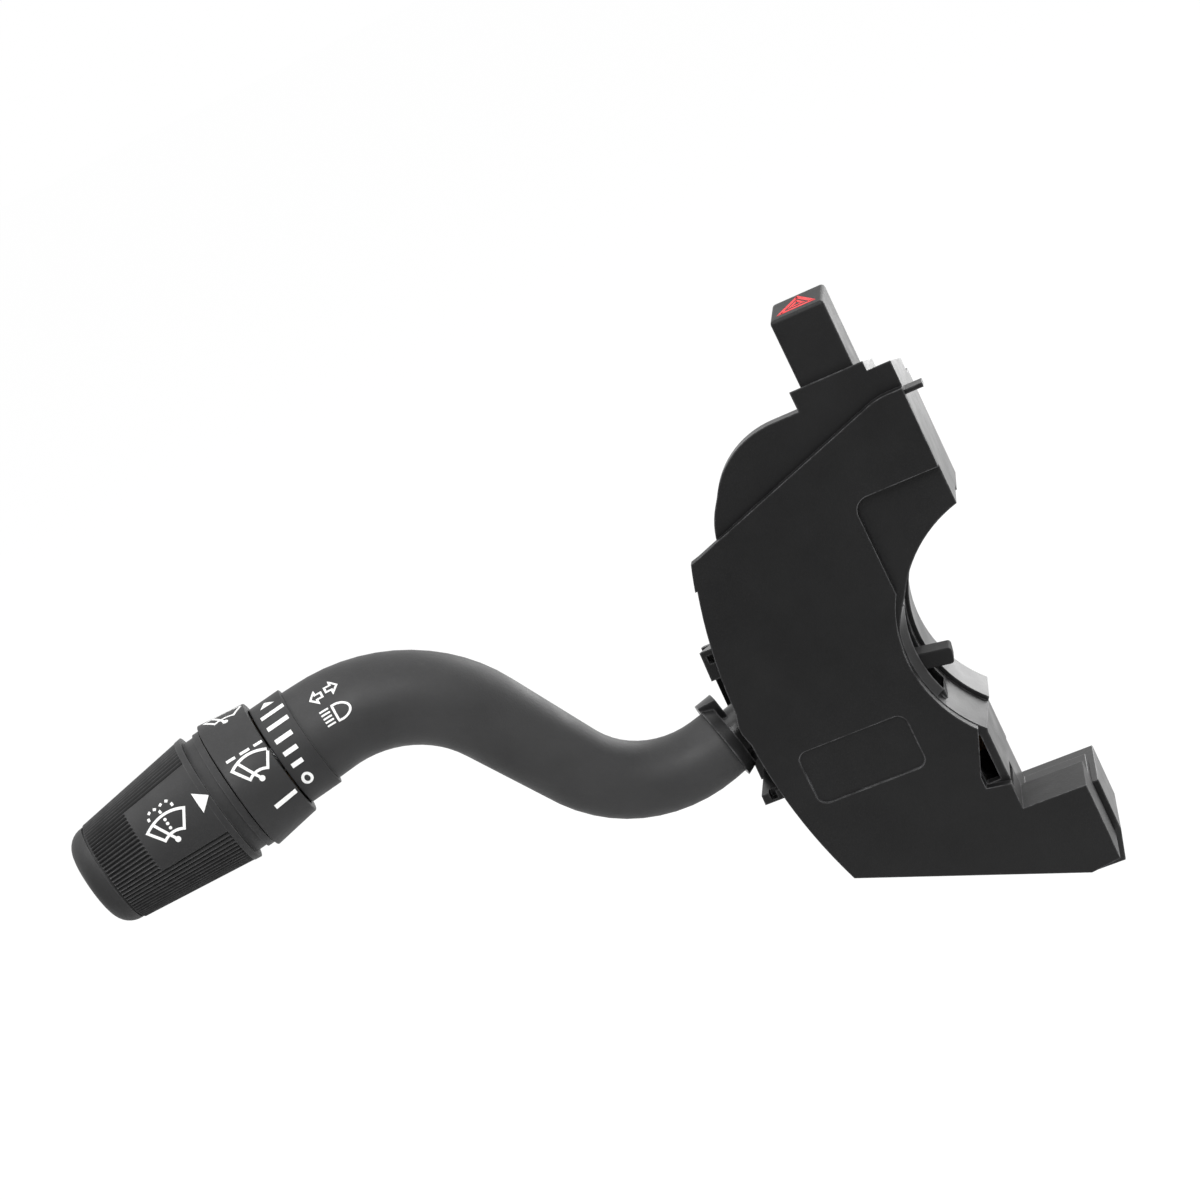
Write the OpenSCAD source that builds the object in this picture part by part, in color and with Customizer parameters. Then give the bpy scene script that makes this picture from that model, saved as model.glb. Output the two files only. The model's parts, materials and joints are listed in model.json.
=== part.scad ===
// Combination stalk switch for a steering column.
// Frame: X to the driver's right, -Y towards the driver, +Z up.
// Origin: steering column axis, on the rear mounting face. Millimetres.

/* [Housing] */
// Depth of the housing, front face to rear mounting face
housing_depth = 24; // [22:0.5:30]
// Thickness of the front cover's face
cover_face = 2; // [1.5:0.1:3]
// Thickness of the moulded side walls
wall = 2; // [1.5:0.1:2.6]
// Saddle wall to the bowed left side at its widest
side_width = 43.6; // [42:0.2:48]
// Radius of the bowed left side
bow_r = 132; // [110:1:180]
// Column axis to the right edge of the arm and the foot
housing_right = 8.6; // [7:0.2:11]
// Height of the cover's top edge over the column axis
cover_top = 59.2; // [57:0.2:60]
// Depth of the foot below the column axis
foot_drop = 65; // [62:0.5:70]
// Radius of the rounded shoulder
shoulder_r = 20.6; // [18:0.2:21]
// Depth of the bare label recess
label_depth = 0.4; // [0.2:0.1:0.8]

/* [Column saddle] */
// Radius of the saddle wall in the rear base
saddle_r = 30; // [28:0.5:31]
// Step from the rear base's saddle wall to the housing's
saddle_step = 1; // [0.5:0.1:1.5]
// Step from the rear base's saddle wall to the cover's arch
arch_step = 3; // [2.6:0.1:4]

/* [Lever] */
// Height of the turn pivot's axis against the column axis
turn_pivot_z = -3; // [-4:0.5:-2]
// Bowed left side to the turn pivot
pivot_inset = 20.6; // [19.6:0.2:21.6]
// Distance from the turn pivot to the flash pivot
flash_offset = 9; // [9:0.1:9.4]
// Radius of the turn pivot pin
turn_pin_r = 2.45; // [2:0.05:2.6]
// Radius of the flash pivot pin
flash_pin_r = 1.95; // [1.6:0.05:2.1]
// Swing of the lever each way from straight
turn_swing = 10; // [6:1:11]

/* [Stalk] */
// Angle of the stalk's plane towards the driver
stalk_lead = 21.5; // [18:0.5:25]
// Downward slope of the stalk where it leaves the housing
root_droop = 10; // [8:0.5:12]
// Turn of the lower bend
lower_bend_angle = 70; // [62:1:74]
// Radius of the lower bend
lower_bend_r = 29; // [24:1:34]
// Straight run between the bends
middle_run = 23.8; // [18:0.2:28]
// Radius of the upper bend
upper_bend_r = 34; // [28:1:38]
// Straight run before the knob
knob_run = 3.8; // [2:0.2:8]
// Downward slope of the knob
knob_droop = 5.5; // [3:0.5:8]
// Radius of the stalk at the housing
stalk_root_r = 8.3; // [7.9:0.1:9]
// Radius of the stalk at the knob
stalk_end_r = 11.4; // [11:0.1:12]
// Wall thickness of the hollow stalk
stalk_wall = 2; // [1.6:0.1:2.2]

/* [Knob] */
// Radius of the fixed scale collar
collar_r = 12.4; // [12.2:0.1:13]
// Length of the fixed scale collar
collar_len = 7.8; // [7:0.1:9]
// Radius of the wiper ring beside the collar
ring_r1 = 14.3; // [14:0.1:15]
// Radius of the wiper ring beside the knob
ring_r2 = 15.9; // [15.7:0.1:17]
// Length of the wiper ring
ring_len = 11.2; // [11:0.1:13]
// Radius of the knob's neck
neck_r = 14.4; // [13.8:0.1:14.6]
// Length of the neck that shows
neck_len = 4.6; // [4:0.1:6]
// Radius of the ribbed knob beside its neck
knob_r1 = 15.8; // [15.4:0.1:17]
// Radius of the ribbed knob at its end
knob_r2 = 12.2; // [11:0.1:13]
// Length of the ribbed knob
knob_len = 28.2; // [26:0.2:32]
// Depth of the grip ribs
rib_depth = 0.5; // [0.2:0.05:0.6]
// Number of grip ribs round the whole knob
rib_count = 84; // [60:1:96]
// Angle of the smooth panel between the ribs
panel_angle = 66; // [50:2:90]
// Length of the smooth panel
panel_len = 18; // [14:0.5:22]
// Length of the rounded end cap
cap_len = 5.4; // [4:0.2:7]
// Travel of the knob when it is pushed to wash
wash_travel = 2.8; // [2:0.1:2.8]
// Radius of the fixed spindle
spindle_r = 4; // [3.5:0.1:4.2]

/* [Hazard button] */
// Width of the hazard button
hazard_w = 12.4; // [11:0.2:13]
// Depth of the hazard button, front to back
hazard_d = 13.8; // [12:0.2:14]
// Height of the button's top over its tower
hazard_rise = 15.4; // [13:0.2:18]
// Top of the tower that guides the button
tower_top = 67.6; // [66:0.2:69]
// Travel of the hazard button
hazard_travel = 5; // [3:0.5:5.5]
// Column axis to the middle of the button
hazard_x = 22.6; // [22:0.1:23]

/* [Cancelling pawl] */
// Saddle wall to the pawl's pivot
pawl_out = 11; // [10:0.2:12]
// Length of the pawl from its pivot to its tip
pawl_len = 17.2; // [15:0.2:18]
// Thickness of the pawl
pawl_t = 4.6; // [4:0.1:4.8]
// Height of the pawl's nose
pawl_h = 4; // [3.4:0.2:4.4]

/* [Connectors] */
// Width of each connector socket
socket_w = 12; // [11:0.2:12.4]
// Height of each connector socket
socket_h = 10; // [8:0.2:10.4]
// Depth of each socket behind its back wall
socket_deep = 9; // [8:0.2:10]
// Wall of the connector shroud
shroud_wall = 1.6; // [1.2:0.1:1.8]
// Width of a terminal blade
blade_w = 1.6; // [1.2:0.1:2]
// Thickness of a terminal blade
blade_t = 0.8; // [0.5:0.1:1]

/* [Fixing] */
// Distance between the two mounting inserts
insert_pitch = 86; // [84:0.5:88]
// Saddle wall to the line of the mounting inserts
insert_out = 20; // [18:0.2:21]
// Radius of the threaded hole in each insert
insert_hole_r = 2.1; // [1.6:0.1:2.5]
// Outer radius of each insert
insert_r = 3.5; // [3.2:0.1:4]
// Radius of the case screws' shanks
screw_r = 1.25; // [1:0.05:1.5]

/* [Hidden] */

$fn = 72;
// Overrun of every cut
over = 0.6;
// Gap between moulded pieces that are fixed together
fit_gap = 0.2;
// Gap between pieces that move past each other
move_gap = 0.3;
// Radial clearance of a running bore
run_gap = 0.05;
// Gap at the ends of the springs
spring_gap = 0.1;
detent_wire = 0.3;

black = [0.14, 0.14, 0.15];
charcoal = [0.22, 0.22, 0.23];
steel = [0.7, 0.71, 0.73];
brass = [0.78, 0.6, 0.3];
amber = [0.55, 0.42, 0.26];
natural = [0.85, 0.84, 0.8];

// Share of the depth that the rear base takes
base_share = 11 / 24;
base_depth = housing_depth * base_share;
front_y = -housing_depth;
inner_y = front_y + cover_face;
part_y = -base_depth;
floor_y = -wall;
housing_left = saddle_r + side_width;
housing_arch_r = saddle_r + saddle_step;
cover_arch_r = saddle_r + arch_step;
turn_pivot_x = housing_left - pivot_inset;
pawl_pivot_x = saddle_r + pawl_out;
insert_x = saddle_r + insert_out;
insert_len = base_depth - wall;
bow_x = bow_r - housing_left;
bow_z = -1.6;
body_w = housing_left - housing_right;
// Facets of the long bowed side
bow_facets = 240;

function arc(c, r, a0, a1, n = 12) =
    [for (k = [0:n]) c + r * [cos(a0 + (a1 - a0) * k / n), sin(a0 + (a1 - a0) * k / n)]];

// An outline drawn in X and Z becomes a plate between two depths
module slab(y0, y1) {
    translate([0, y1, 0]) rotate([90, 0, 0]) linear_extrude(y1 - y0) children();
}

// A bar along +Y from one depth to another
module y_rod(x, z, y0, y1, r, facets = 72) {
    translate([x, y1, z]) rotate([90, 0, 0]) cylinder(r = r, h = y1 - y0, $fn = facets);
}

// Front view of the moulding

// Left end of the long straight edge that climbs to the arm
crest_share = 65.1 / 73.6;
crest_x = -crest_share * housing_left;
crest_fall = 17.8;
crest_z = cover_top - crest_fall;
climb_angle = 19.4;
// Rounding where the climbing edge meets the top edge
top_round = 14;
top_corner_x = crest_x + crest_fall / tan(climb_angle);
top_round_x = top_corner_x + top_round * tan(climb_angle / 2);
// Lip on the left edge below the crest
crest_lip = 0.5;
crest_lip_h = 7;
// Lower left corner, where the bowed side meets the sloping foot
heel_share = 0.92;
heel_x = -heel_share * housing_left;
heel_fall = 86;
heel_z = crest_z - heel_fall;
foot_slope = body_w / 9;
foot_chamfer = body_w / 65;
left_of_all = -housing_left - body_w / 6;
left_fall = body_w / 12;
// Notch above the foot
notch_w = 15.2;
notch_x = -housing_right - notch_w;
notch_rise = 21.4;
notch_z = foot_drop - notch_rise;
notch_h = 6.9;
// Hollow in the cover's edge between the arch and the notch
hollow_w = 5.6;
hollow_x = notch_x - hollow_w;
hollow_h = 4;
arch_end_angle = 40;
// Underside of the cover's arm
arm_h = 19.4;
arm_z = cover_top - arm_h;
arm_wall_in = 4.2;
arm_wall_x = arm_wall_in - cover_arch_r;
arm_fillet = 3.4;

module bow(r) {
    translate([bow_x, bow_z]) circle(r = r, $fn = bow_facets);
}

module cover_outline(i) {
    arch = cover_arch_r + i;
    difference() {
        intersection() {
            polygon(concat(
                [[-housing_right - i, cover_top - i]],
                arc([top_round_x, cover_top - top_round], top_round - i, 90, 90 + climb_angle, 6),
                [[crest_x, crest_z - i],
                 [left_of_all, crest_z - i - left_fall],
                 [left_of_all, heel_z],
                 [heel_x + i / 2, heel_z + i],
                 [-housing_right - foot_slope, -foot_drop + i],
                 [-housing_right - i, -foot_drop + foot_chamfer + i],
                 [-housing_right - i, -notch_z - i],
                 [notch_x - i, -notch_z - i],
                 [notch_x - i, -notch_z + notch_h - i],
                 [hollow_x - i, -notch_z + notch_h + foot_chamfer - i],
                 [hollow_x - i, -notch_z + notch_h + hollow_h],
                 [-arch * cos(arch_end_angle), -arch * sin(arch_end_angle)],
                 [arm_wall_x - i, arch / 2]],
                arc([arm_wall_x - i + arm_fillet, arm_z + i - arm_fillet], arm_fillet, 180, 90, 6),
                [[-housing_right - i, arm_z + i]]));
            union() {
                bow(bow_r - i);
                intersection() {
                    bow(bow_r + crest_lip - i);
                    translate([left_of_all, crest_z - crest_lip_h]) square(housing_left);
                }
            }
        }
        circle(r = arch);
    }
}

shoulder_share = 37.5 / 73.6;
shoulder_x = -shoulder_share * housing_left;
shoulder_fall = 17;
shoulder_z = cover_top - shoulder_fall;
shoulder_top = shoulder_z + shoulder_r;
tower_wall = 1;
tower_gap = 0.35;
tower_rim = wall / 2;
tower_half = hazard_w / 2 + tower_gap + tower_wall + tower_rim;
tower_right = tower_half - hazard_x;
tower_left = -tower_half - hazard_x;
lug_w = 4;
lug_fall = 2.3;
lug_top = tower_top - lug_fall;
lug_depth = 18.5;
// The tops fall away to the rear at this angle
top_angle = 17;
// Each layer of the body stands lower and further left than the one in front of it
layer_x = 2.3;
layer_z = 3.5;
crest_drop = 4;
foot_drop_back = 4.2;
plate_t = 2.5;

// Body outline behind the cover: 0 is the shoulder plate, 1 the housing, 2 the rear base
module body_outline(i, layer, arch_r, side) {
    s = side + i;
    round_x = shoulder_x - layer * layer_x;
    round_z = shoulder_z - layer * layer_z;
    top_z = round_z + shoulder_r;
    crest = crest_z - s - max(1, layer) * crest_drop;
    difference() {
        union() {
            intersection() {
                polygon([[-housing_right - i, round_z],
                         [round_x, round_z],
                         [crest_x, crest],
                         [left_of_all, crest - left_fall],
                         [left_of_all, heel_z],
                         [heel_x + s / 2, heel_z + s],
                         [-housing_right - foot_slope, -foot_drop + s],
                         [-housing_right - s, -foot_drop + foot_chamfer + s],
                         [-housing_right - s, -notch_z - s - max(0, layer - 1) * foot_drop_back],
                         [notch_x - s, -notch_z - s - max(0, layer - 1) * foot_drop_back],
                         [notch_x - s, -notch_z + notch_h - s],
                         [notch_x - i, -notch_z + notch_h + i],
                         [notch_x - i, notch_x - i],
                         [-housing_right - i, 0]]);
                bow(bow_r - s);
            }
            intersection() {
                translate([round_x, round_z]) circle(r = shoulder_r - i);
                translate([-housing_left, 0]) square([housing_left, shoulder_top]);
            }
            translate([round_x, 0]) square([-housing_right - i - round_x, top_z - i]);
        }
        circle(r = arch_r + i);
    }
}

// All that stands over a plane which falls to the rear from a front edge
module over_slope(x0, x1, y, z) {
    translate([x0, y, z]) rotate([-top_angle, 0, 0]) translate([0, -over, 0])
        cube([x1 - x0, 2 * housing_depth, 2 * housing_depth]);
}

// Region where the cover has a skirt
skirt_top = -notch_z + notch_h - wall - fit_gap;
skirt_left_share = 0.62;
skirt_gap = 1;
skirt_y1 = part_y - skirt_gap;
module skirt_region() {
    step_x = -skirt_left_share * housing_left;
    polygon([[-2 * housing_left, arm_z - wall], [step_x, arm_z - wall], [step_x, skirt_top], [0, skirt_top],
             [0, -2 * foot_drop], [-2 * housing_left, -2 * foot_drop]]);
}

// Window in the left wall through which the lever passes
window_low = 12;
window_high = 9.6;
window_z0 = turn_pivot_z - window_low;
window_z1 = turn_pivot_z + window_high;
window_share = 19 / 24;
window_y0 = -housing_depth * window_share;
window_back = 2.6;
window_y1 = -window_back;
module lever_window() {
    translate([-housing_left - 4 * wall, window_y0, window_z0])
        cube([8 * wall, window_y1 - window_y0, window_z1 - window_z0]);
}

// Window in the saddle wall for the pawl
pawl_seat = 1.2;
pawl_y0 = inner_y + wall + pawl_seat;
pawl_y1 = pawl_y0 + pawl_t;
pawl_window_gap = 0.8;
pawl_window_low = 13.4;
pawl_window_h = 27.4;
module pawl_window() {
    translate([-housing_arch_r - 3 * wall, pawl_y0 - pawl_window_gap, -pawl_window_low])
        cube([4 * wall, pawl_t + 2 * pawl_window_gap, pawl_window_h]);
}

label_w = 26.4;
label_h = 14;
label_in = 8.2;
label_x = label_in - housing_left;
label_z = -25;
label_r = 2.4;
module label_recess() {
    slab(front_y - over, front_y + label_depth)
        translate([label_x + label_r, label_z + label_r]) {
            square([label_w - 2 * label_r, label_h - 2 * label_r]);
            translate([-label_r, 0]) square([label_w, label_h - 2 * label_r]);
            translate([0, -label_r]) square([label_w - 2 * label_r, label_h]);
            for (x = [0, label_w - 2 * label_r], z = [0, label_h - 2 * label_r])
                translate([x, z]) circle(r = label_r);
        }
}

// Lip of the cover in front of the lever's collar
lip_out = 0.8;
lip_low = 1.4;
lip_high = 0.4;
lip_root = 3.6;
lip_t = 1;
module lever_lip() {
    root = wall - housing_left;
    slab(front_y, front_y + lip_t) polygon([
        [root, lip_root], [-housing_left, lip_root], [-housing_left - lip_out, lip_high],
        [-housing_left - lip_out, -lip_low], [-housing_left, -lip_root - lip_t], [root, -lip_root - lip_t]]);
}

module front_cover() {
    color(black) difference() {
        union() {
            slab(front_y, inner_y) cover_outline(0);
            slab(inner_y, skirt_y1) intersection() {
                difference() {
                    cover_outline(0);
                    cover_outline(wall);
                }
                skirt_region();
            }
            lever_lip();
        }
        label_recess();
        lever_window();
    }
}

// Case screws come in from the rear face
screw_places = [[-60, 28], [-61, -37], [-36, 50], [-31, -42]];
post_r = 3.4;
screw_head_r = 2.6;
screw_head_h = 2;
screw_seat = 4;
screw_grip = 7.6;
module at_screws() {
    for (p = screw_places) translate([p[0], 0, p[1]]) rotate([90, 0, 0]) children();
}

button_y0 = inner_y + tower_wall + tower_gap;
button_y1 = button_y0 + hazard_d;
tower_y1 = button_y1 + tower_gap + tower_wall;
button_y = (button_y0 + button_y1) / 2;

// Tab at the end of the arm
tab_out = 4.1;
tab_t = 1.1;
tab_fall = 2.2;
tab_depth = 3;
// Opening behind the cover for the turn mechanism
relief_in = 14;
relief_fall = 32;
relief_w = 22;
relief_h = 18;
boss_t = 1.4;
pawl_boss_wall = 1.6;
module housing_layer(i) {
    body_outline(i, 1, housing_arch_r, wall + fit_gap);
}

// Pocket that shows in the cover's hollow, between the arch and the notch
module edge_pocket() {
    slab(inner_y - over, inner_y + wall + over) difference() {
        translate([hollow_x + 2 * fit_gap, -notch_z + notch_h + foot_chamfer])
            square([hollow_w - wall - 2 * fit_gap, 3 * hollow_h]);
        circle(r = housing_arch_r + wall);
    }
}

module switch_housing() {
    color(black) difference() {
        union() {
            difference() {
                union() {
                    slab(inner_y, inner_y + plate_t) body_outline(0, 0, housing_arch_r, wall + fit_gap);
                    slab(inner_y, part_y) housing_layer(0);
                }
                slab(inner_y + wall, part_y + over) housing_layer(wall);
            }
            difference() {
                union() {
                    slab(inner_y, tower_y1) translate([tower_left, shoulder_top - layer_z - wall])
                        square([2 * tower_half, tower_top - shoulder_top + layer_z + wall]);
                    slab(inner_y, part_y) translate([-housing_right - lug_w, shoulder_top - layer_z - wall])
                        square([lug_w, lug_top - shoulder_top + layer_z + wall]);
                }
                over_slope(tower_left - over, tower_right + over / 2, inner_y, tower_top);
                over_slope(-housing_right - lug_w, -housing_right + over, inner_y, lug_top);
            }
            slab(inner_y, inner_y + tab_depth) translate([-housing_right - wall, cover_top - tab_fall])
                square([tab_out + wall, tab_t]);
            at_screws() translate([0, 0, -part_y]) cylinder(r = post_r, h = part_y - inner_y - wall / 2);
            y_rod(-turn_pivot_x, turn_pivot_z, inner_y + wall / 2, inner_y + wall + boss_t,
                  turn_pin_r + wall);
            y_rod(-pawl_pivot_x, pawl_z, inner_y + wall / 2, pawl_y0 - move_gap,
                  pawl_pin_r + pawl_boss_wall);
        }
        // Guide hole of the hazard button
        translate([-hazard_x - hazard_w / 2 - tower_gap, button_y0 - tower_gap, base_top + move_gap])
            cube([hazard_w + 2 * tower_gap, hazard_d + 2 * tower_gap, tower_top]);
        slab(inner_y - over, inner_y + wall + over) intersection() {
            translate([-turn_pivot_x - relief_in, turn_pivot_z - relief_fall]) square([relief_w, relief_h]);
            body_outline(2 * wall, 1, cover_arch_r, wall);
        }
        edge_pocket();
        at_screws() translate([0, 0, -part_y - over])
            cylinder(r = screw_r + run_gap, h = screw_grip + over);
        y_rod(-turn_pivot_x, turn_pivot_z, inner_y + wall / 2, part_y, turn_pin_r + run_gap / 2);
        y_rod(-pawl_pivot_x, pawl_z, inner_y + wall / 2, part_y, pawl_pin_r + run_gap / 2);
        lever_window();
        pawl_window();
    }
}

base_top = shoulder_top - 2 * layer_z;
module base_outline(i) {
    body_outline(i, 2, saddle_r, fit_gap);
}

module insert_sites() {
    for (s = [-1, 1]) translate([-insert_x, 0, s * insert_pitch / 2]) rotate([90, 0, 0]) children();
}

pivot_boss_t = 1.2;
module rear_base() {
    color(black) difference() {
        union() {
            difference() {
                slab(part_y, 0) base_outline(0);
                slab(part_y - over, floor_y) base_outline(wall);
            }
            // Rear part of the lug
            difference() {
                slab(part_y, inner_y + lug_depth) translate([-housing_right - lug_w, base_top - wall])
                    square([lug_w, lug_top - base_top + wall]);
                over_slope(-housing_right - lug_w - over, -housing_right + over, inner_y, lug_top);
            }
            at_screws() translate([0, 0, wall / 2]) cylinder(r = post_r, h = base_depth - wall / 2);
            insert_sites() translate([0, 0, wall / 2]) cylinder(r = insert_r + wall, h = insert_len);
            y_rod(-turn_pivot_x, turn_pivot_z, -wall - pivot_boss_t, -wall / 2, turn_pin_r + wall);
        }
        at_screws() {
            translate([0, 0, -over]) cylinder(r = screw_r + fit_gap, h = base_depth + 2 * over);
            translate([0, 0, -over]) cylinder(r = screw_head_r + fit_gap, h = screw_seat + over);
        }
        insert_sites() translate([0, 0, -over]) cylinder(r = insert_r, h = insert_len + over);
        y_rod(-turn_pivot_x, turn_pivot_z, part_y, -wall / 2, turn_pin_r + run_gap / 2);
        // Seat of the connector shroud
        slab(part_y - over, over) shroud_outline(fit_gap);
        lever_window();
    }
}

module case_screws() {
    color(steel) at_screws() {
        translate([0, 0, screw_seat - screw_head_h]) cylinder(r = screw_head_r, h = screw_head_h);
        translate([0, 0, screw_seat]) cylinder(r = screw_r, h = base_depth - screw_seat + screw_grip - over);
    }
}

module mounting_inserts() {
    color(brass) insert_sites() difference() {
        cylinder(r = insert_r, h = insert_len);
        translate([0, 0, -over]) cylinder(r = insert_hole_r, h = insert_len + 2 * over);
    }
}

shroud_w = 30.8;
shroud_h = 22;
shroud_step_h = 12.5;
shroud_proud = 1.4;
shroud_fall = 6.4;
shroud_foot_in = 10.8;
shroud_corner_w = 2;
shroud_corner_h = 8;
shroud_x1 = shroud_proud - housing_right;
shroud_x0 = shroud_x1 - shroud_w;
shroud_z1 = -notch_z - shroud_fall;
shroud_z0 = shroud_z1 - shroud_h;
shroud_back = 7;

// Connector shroud at the foot, with two sockets that face the rear
socket_floor = shroud_back - socket_deep;
socket_drop = 5.6;
socket_xs = [shroud_x0 + shroud_wall + socket_w / 2, shroud_x1 - 1.6 * shroud_wall - socket_w / 2];
socket_zs = [shroud_z1 - shroud_wall - socket_h / 2, shroud_z1 - shroud_wall - socket_drop - socket_h / 2];
blade_step = 2.6;
blade_row = 4;
blade_out = 1.6;
module blade_sites(k) {
    for (c = [-1.5, -0.5, 0.5, 1.5], r = [-0.5, 0.5])
        translate([socket_xs[k] + c * blade_step, 0, socket_zs[k] + r * blade_row]) children();
}

module shroud_outline(g) {
    polygon([[shroud_x0 - g, shroud_z1 + g], [shroud_x0 - g, shroud_z1 - shroud_step_h - g],
             [shroud_x1 - shroud_foot_in, shroud_z0 - g], [shroud_x1 - shroud_corner_w + g, shroud_z0 - g],
             [shroud_x1 + g, shroud_z0 + shroud_corner_h], [shroud_x1 + g, shroud_z1 + g]]);
}

module connector_shroud() {
    color(black) difference() {
        slab(part_y, shroud_back) shroud_outline(0);
        for (k = [0, 1]) translate([socket_xs[k], 0, socket_zs[k]]) {
            translate([-socket_w / 2, socket_floor, -socket_h / 2])
                cube([socket_w, socket_deep + over, socket_h]);
            translate([-socket_w / 2, part_y - over, -socket_h / 2])
                cube([socket_w, socket_floor - part_y - wall + over, socket_h]);
            // Slot for the plug's latch
            translate([-socket_w / 6, shroud_back - socket_deep / 2, 0])
                cube([socket_w / 3, socket_deep / 2 + over, socket_h / 2 + shroud_wall / 2]);
        }
        for (k = [0, 1]) blade_sites(k)
            translate([-blade_w / 2 - fit_gap / 4, socket_floor - 2 * wall, -blade_t / 2 - fit_gap / 4])
                cube([blade_w + fit_gap / 2, 3 * wall, blade_t + fit_gap / 2]);
    }
}

module blades(k) {
    color(brass) blade_sites(k) translate([-blade_w / 2, socket_floor - 2 * wall, -blade_t / 2])
        cube([blade_w, 2 * wall + blade_out, blade_t]);
}
module turn_terminals() { blades(0); }
module wiper_terminals() { blades(1); }

// Contact board on the base floor, with the tracks that the sliders wipe
board_t = 1.6;
board_y = floor_y - board_t;
board_in = 7.6;
board_x0 = board_in - housing_left;
board_off_saddle = 3;
board_x1 = -saddle_r - board_off_saddle;
board_top_fall = 14;
board_h = 19;
board_z1 = turn_pivot_z - board_top_fall;
board_z0 = board_z1 - board_h;
board_ear = 5.4;
board_ear_h = 8;
module contact_board() {
    color(amber) difference() {
        slab(board_y, floor_y) {
            translate([board_x0, board_z0]) square([board_x1 - board_x0, board_h]);
            translate([board_x1 - over, board_z0]) square([board_ear + over, board_ear_h]);
        }
        y_rod(screw_places[1][0], screw_places[1][1], -base_depth, 0, post_r + fit_gap);
    }
}

track_t = 0.3;
slider_x = 16;
slider_fall = 20;
slider_z = turn_pivot_z - slider_fall;
slider_h = 8;
slider_t = 2.6;
slider_lift = 1.2;
slider_y1 = board_y - track_t - slider_lift;
slider_y0 = slider_y1 - slider_t;
track_w = 1.2;
track_step = 2.4;
track_over = 3;
module fixed_contacts() {
    color(brass) for (r = [-1, 0, 1])
        slab(board_y - track_t, board_y)
            translate([-turn_pivot_x - slider_x / 2 - track_over, slider_z + r * track_step - track_w / 2])
                square([slider_x + 2 * track_over, track_w]);
}

rail_t = 1.2;
rail_over = 2;
module slider_rails() {
    color(natural) for (s = [-1, 1])
        translate([-turn_pivot_x - slider_x / 2 - rail_over, slider_y0,
                   slider_z + s * (slider_h / 2 + rail_t / 2 + move_gap) - rail_t / 2])
            cube([slider_x + 2 * rail_over, board_y - slider_y0, rail_t]);
}

peg_r = 1.5;
module contact_slider() {
    color(natural) difference() {
        translate([-turn_pivot_x - slider_x / 2, slider_y0, slider_z - slider_h / 2])
            cube([slider_x, slider_y1 - slider_y0, slider_h]);
        translate([-turn_pivot_x - peg_r - run_gap, slider_y0 - over, slider_z - slider_h / 4])
            cube([2 * (peg_r + run_gap), slider_y1 - slider_y0 + 2 * over, slider_h / 2]);
    }
}

wiper_w = 2.8;
wiper_t = 0.9;
wiper_in = 0.6;
module slider_contacts() {
    color(brass) for (s = [-1, 1])
        translate([-turn_pivot_x + s * slider_x / 3 - wiper_w / 2, slider_y1,
                   slider_z - slider_h / 2 + wiper_in])
            cube([wiper_w, wiper_t, slider_h - 2 * wiper_in]);
}

// Bezel on the bowed side: two end lugs and a rear rail, open in front where the collar swings
bezel_z1 = 18.5;
bezel_z0 = -22.6;
bezel_high = 7.5;
bezel_low = 2.6;
bezel_out_top = 2.5;
bezel_out_low = 5;
bezel_front = 6;
bezel_y0 = front_y + bezel_front;
bezel_back = 0.4;
rail_front = 3.6;
bezel_rail_y = -rail_front;
rail_out_top = 5.2;
rail_out_low = 6.7;
rail_fall = 4.5;
hole_w = 1.6;
hole_h = 2;
hole_deep = 2;
hole_in = 1.4;
module lever_bezel() {
    color(black) difference() {
        union() {
            slab(bezel_y0, -bezel_back) polygon([
                [-housing_left - bezel_out_top, bezel_z1], [-housing_left + wall, bezel_z1],
                [-housing_left + wall, bezel_z0], [-housing_left - bezel_out_low, bezel_z0]]);
            slab(bezel_rail_y, -bezel_back) polygon([
                [-housing_left - rail_out_top, bezel_z1 - rail_fall],
                [-housing_left + wall, bezel_z1 - rail_fall],
                [-housing_left + wall, bezel_z0], [-housing_left - rail_out_low, bezel_z0]]);
        }
        translate([0, front_y, 0]) slab(0, housing_depth) bow(bow_r + run_gap);
        over_slope(-2 * housing_left, 0, bezel_y0, bezel_z1);
        translate([-2 * housing_left, bezel_y0 - over, bezel_z0 + bezel_low])
            cube([2 * housing_left, bezel_rail_y - bezel_y0 + over,
                  bezel_z1 - bezel_z0 - bezel_low - bezel_high]);
        // Small square holes in the end lugs
        translate([-housing_left - hole_in, bezel_y0 - over, bezel_z1 - hole_h - hole_in])
            cube([hole_w, hole_deep + over, hole_h]);
        translate([-housing_left - hole_in - hole_w, bezel_y0 - over, bezel_z0 + hole_in / 2])
            cube([hole_w, hole_deep + over, hole_h]);
    }
}

module turn_pivot_pin() {
    color(steel)
        y_rod(-turn_pivot_x, turn_pivot_z, inner_y + wall / 2 + fit_gap, -wall / 2 - fit_gap, turn_pin_r);
}

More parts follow.
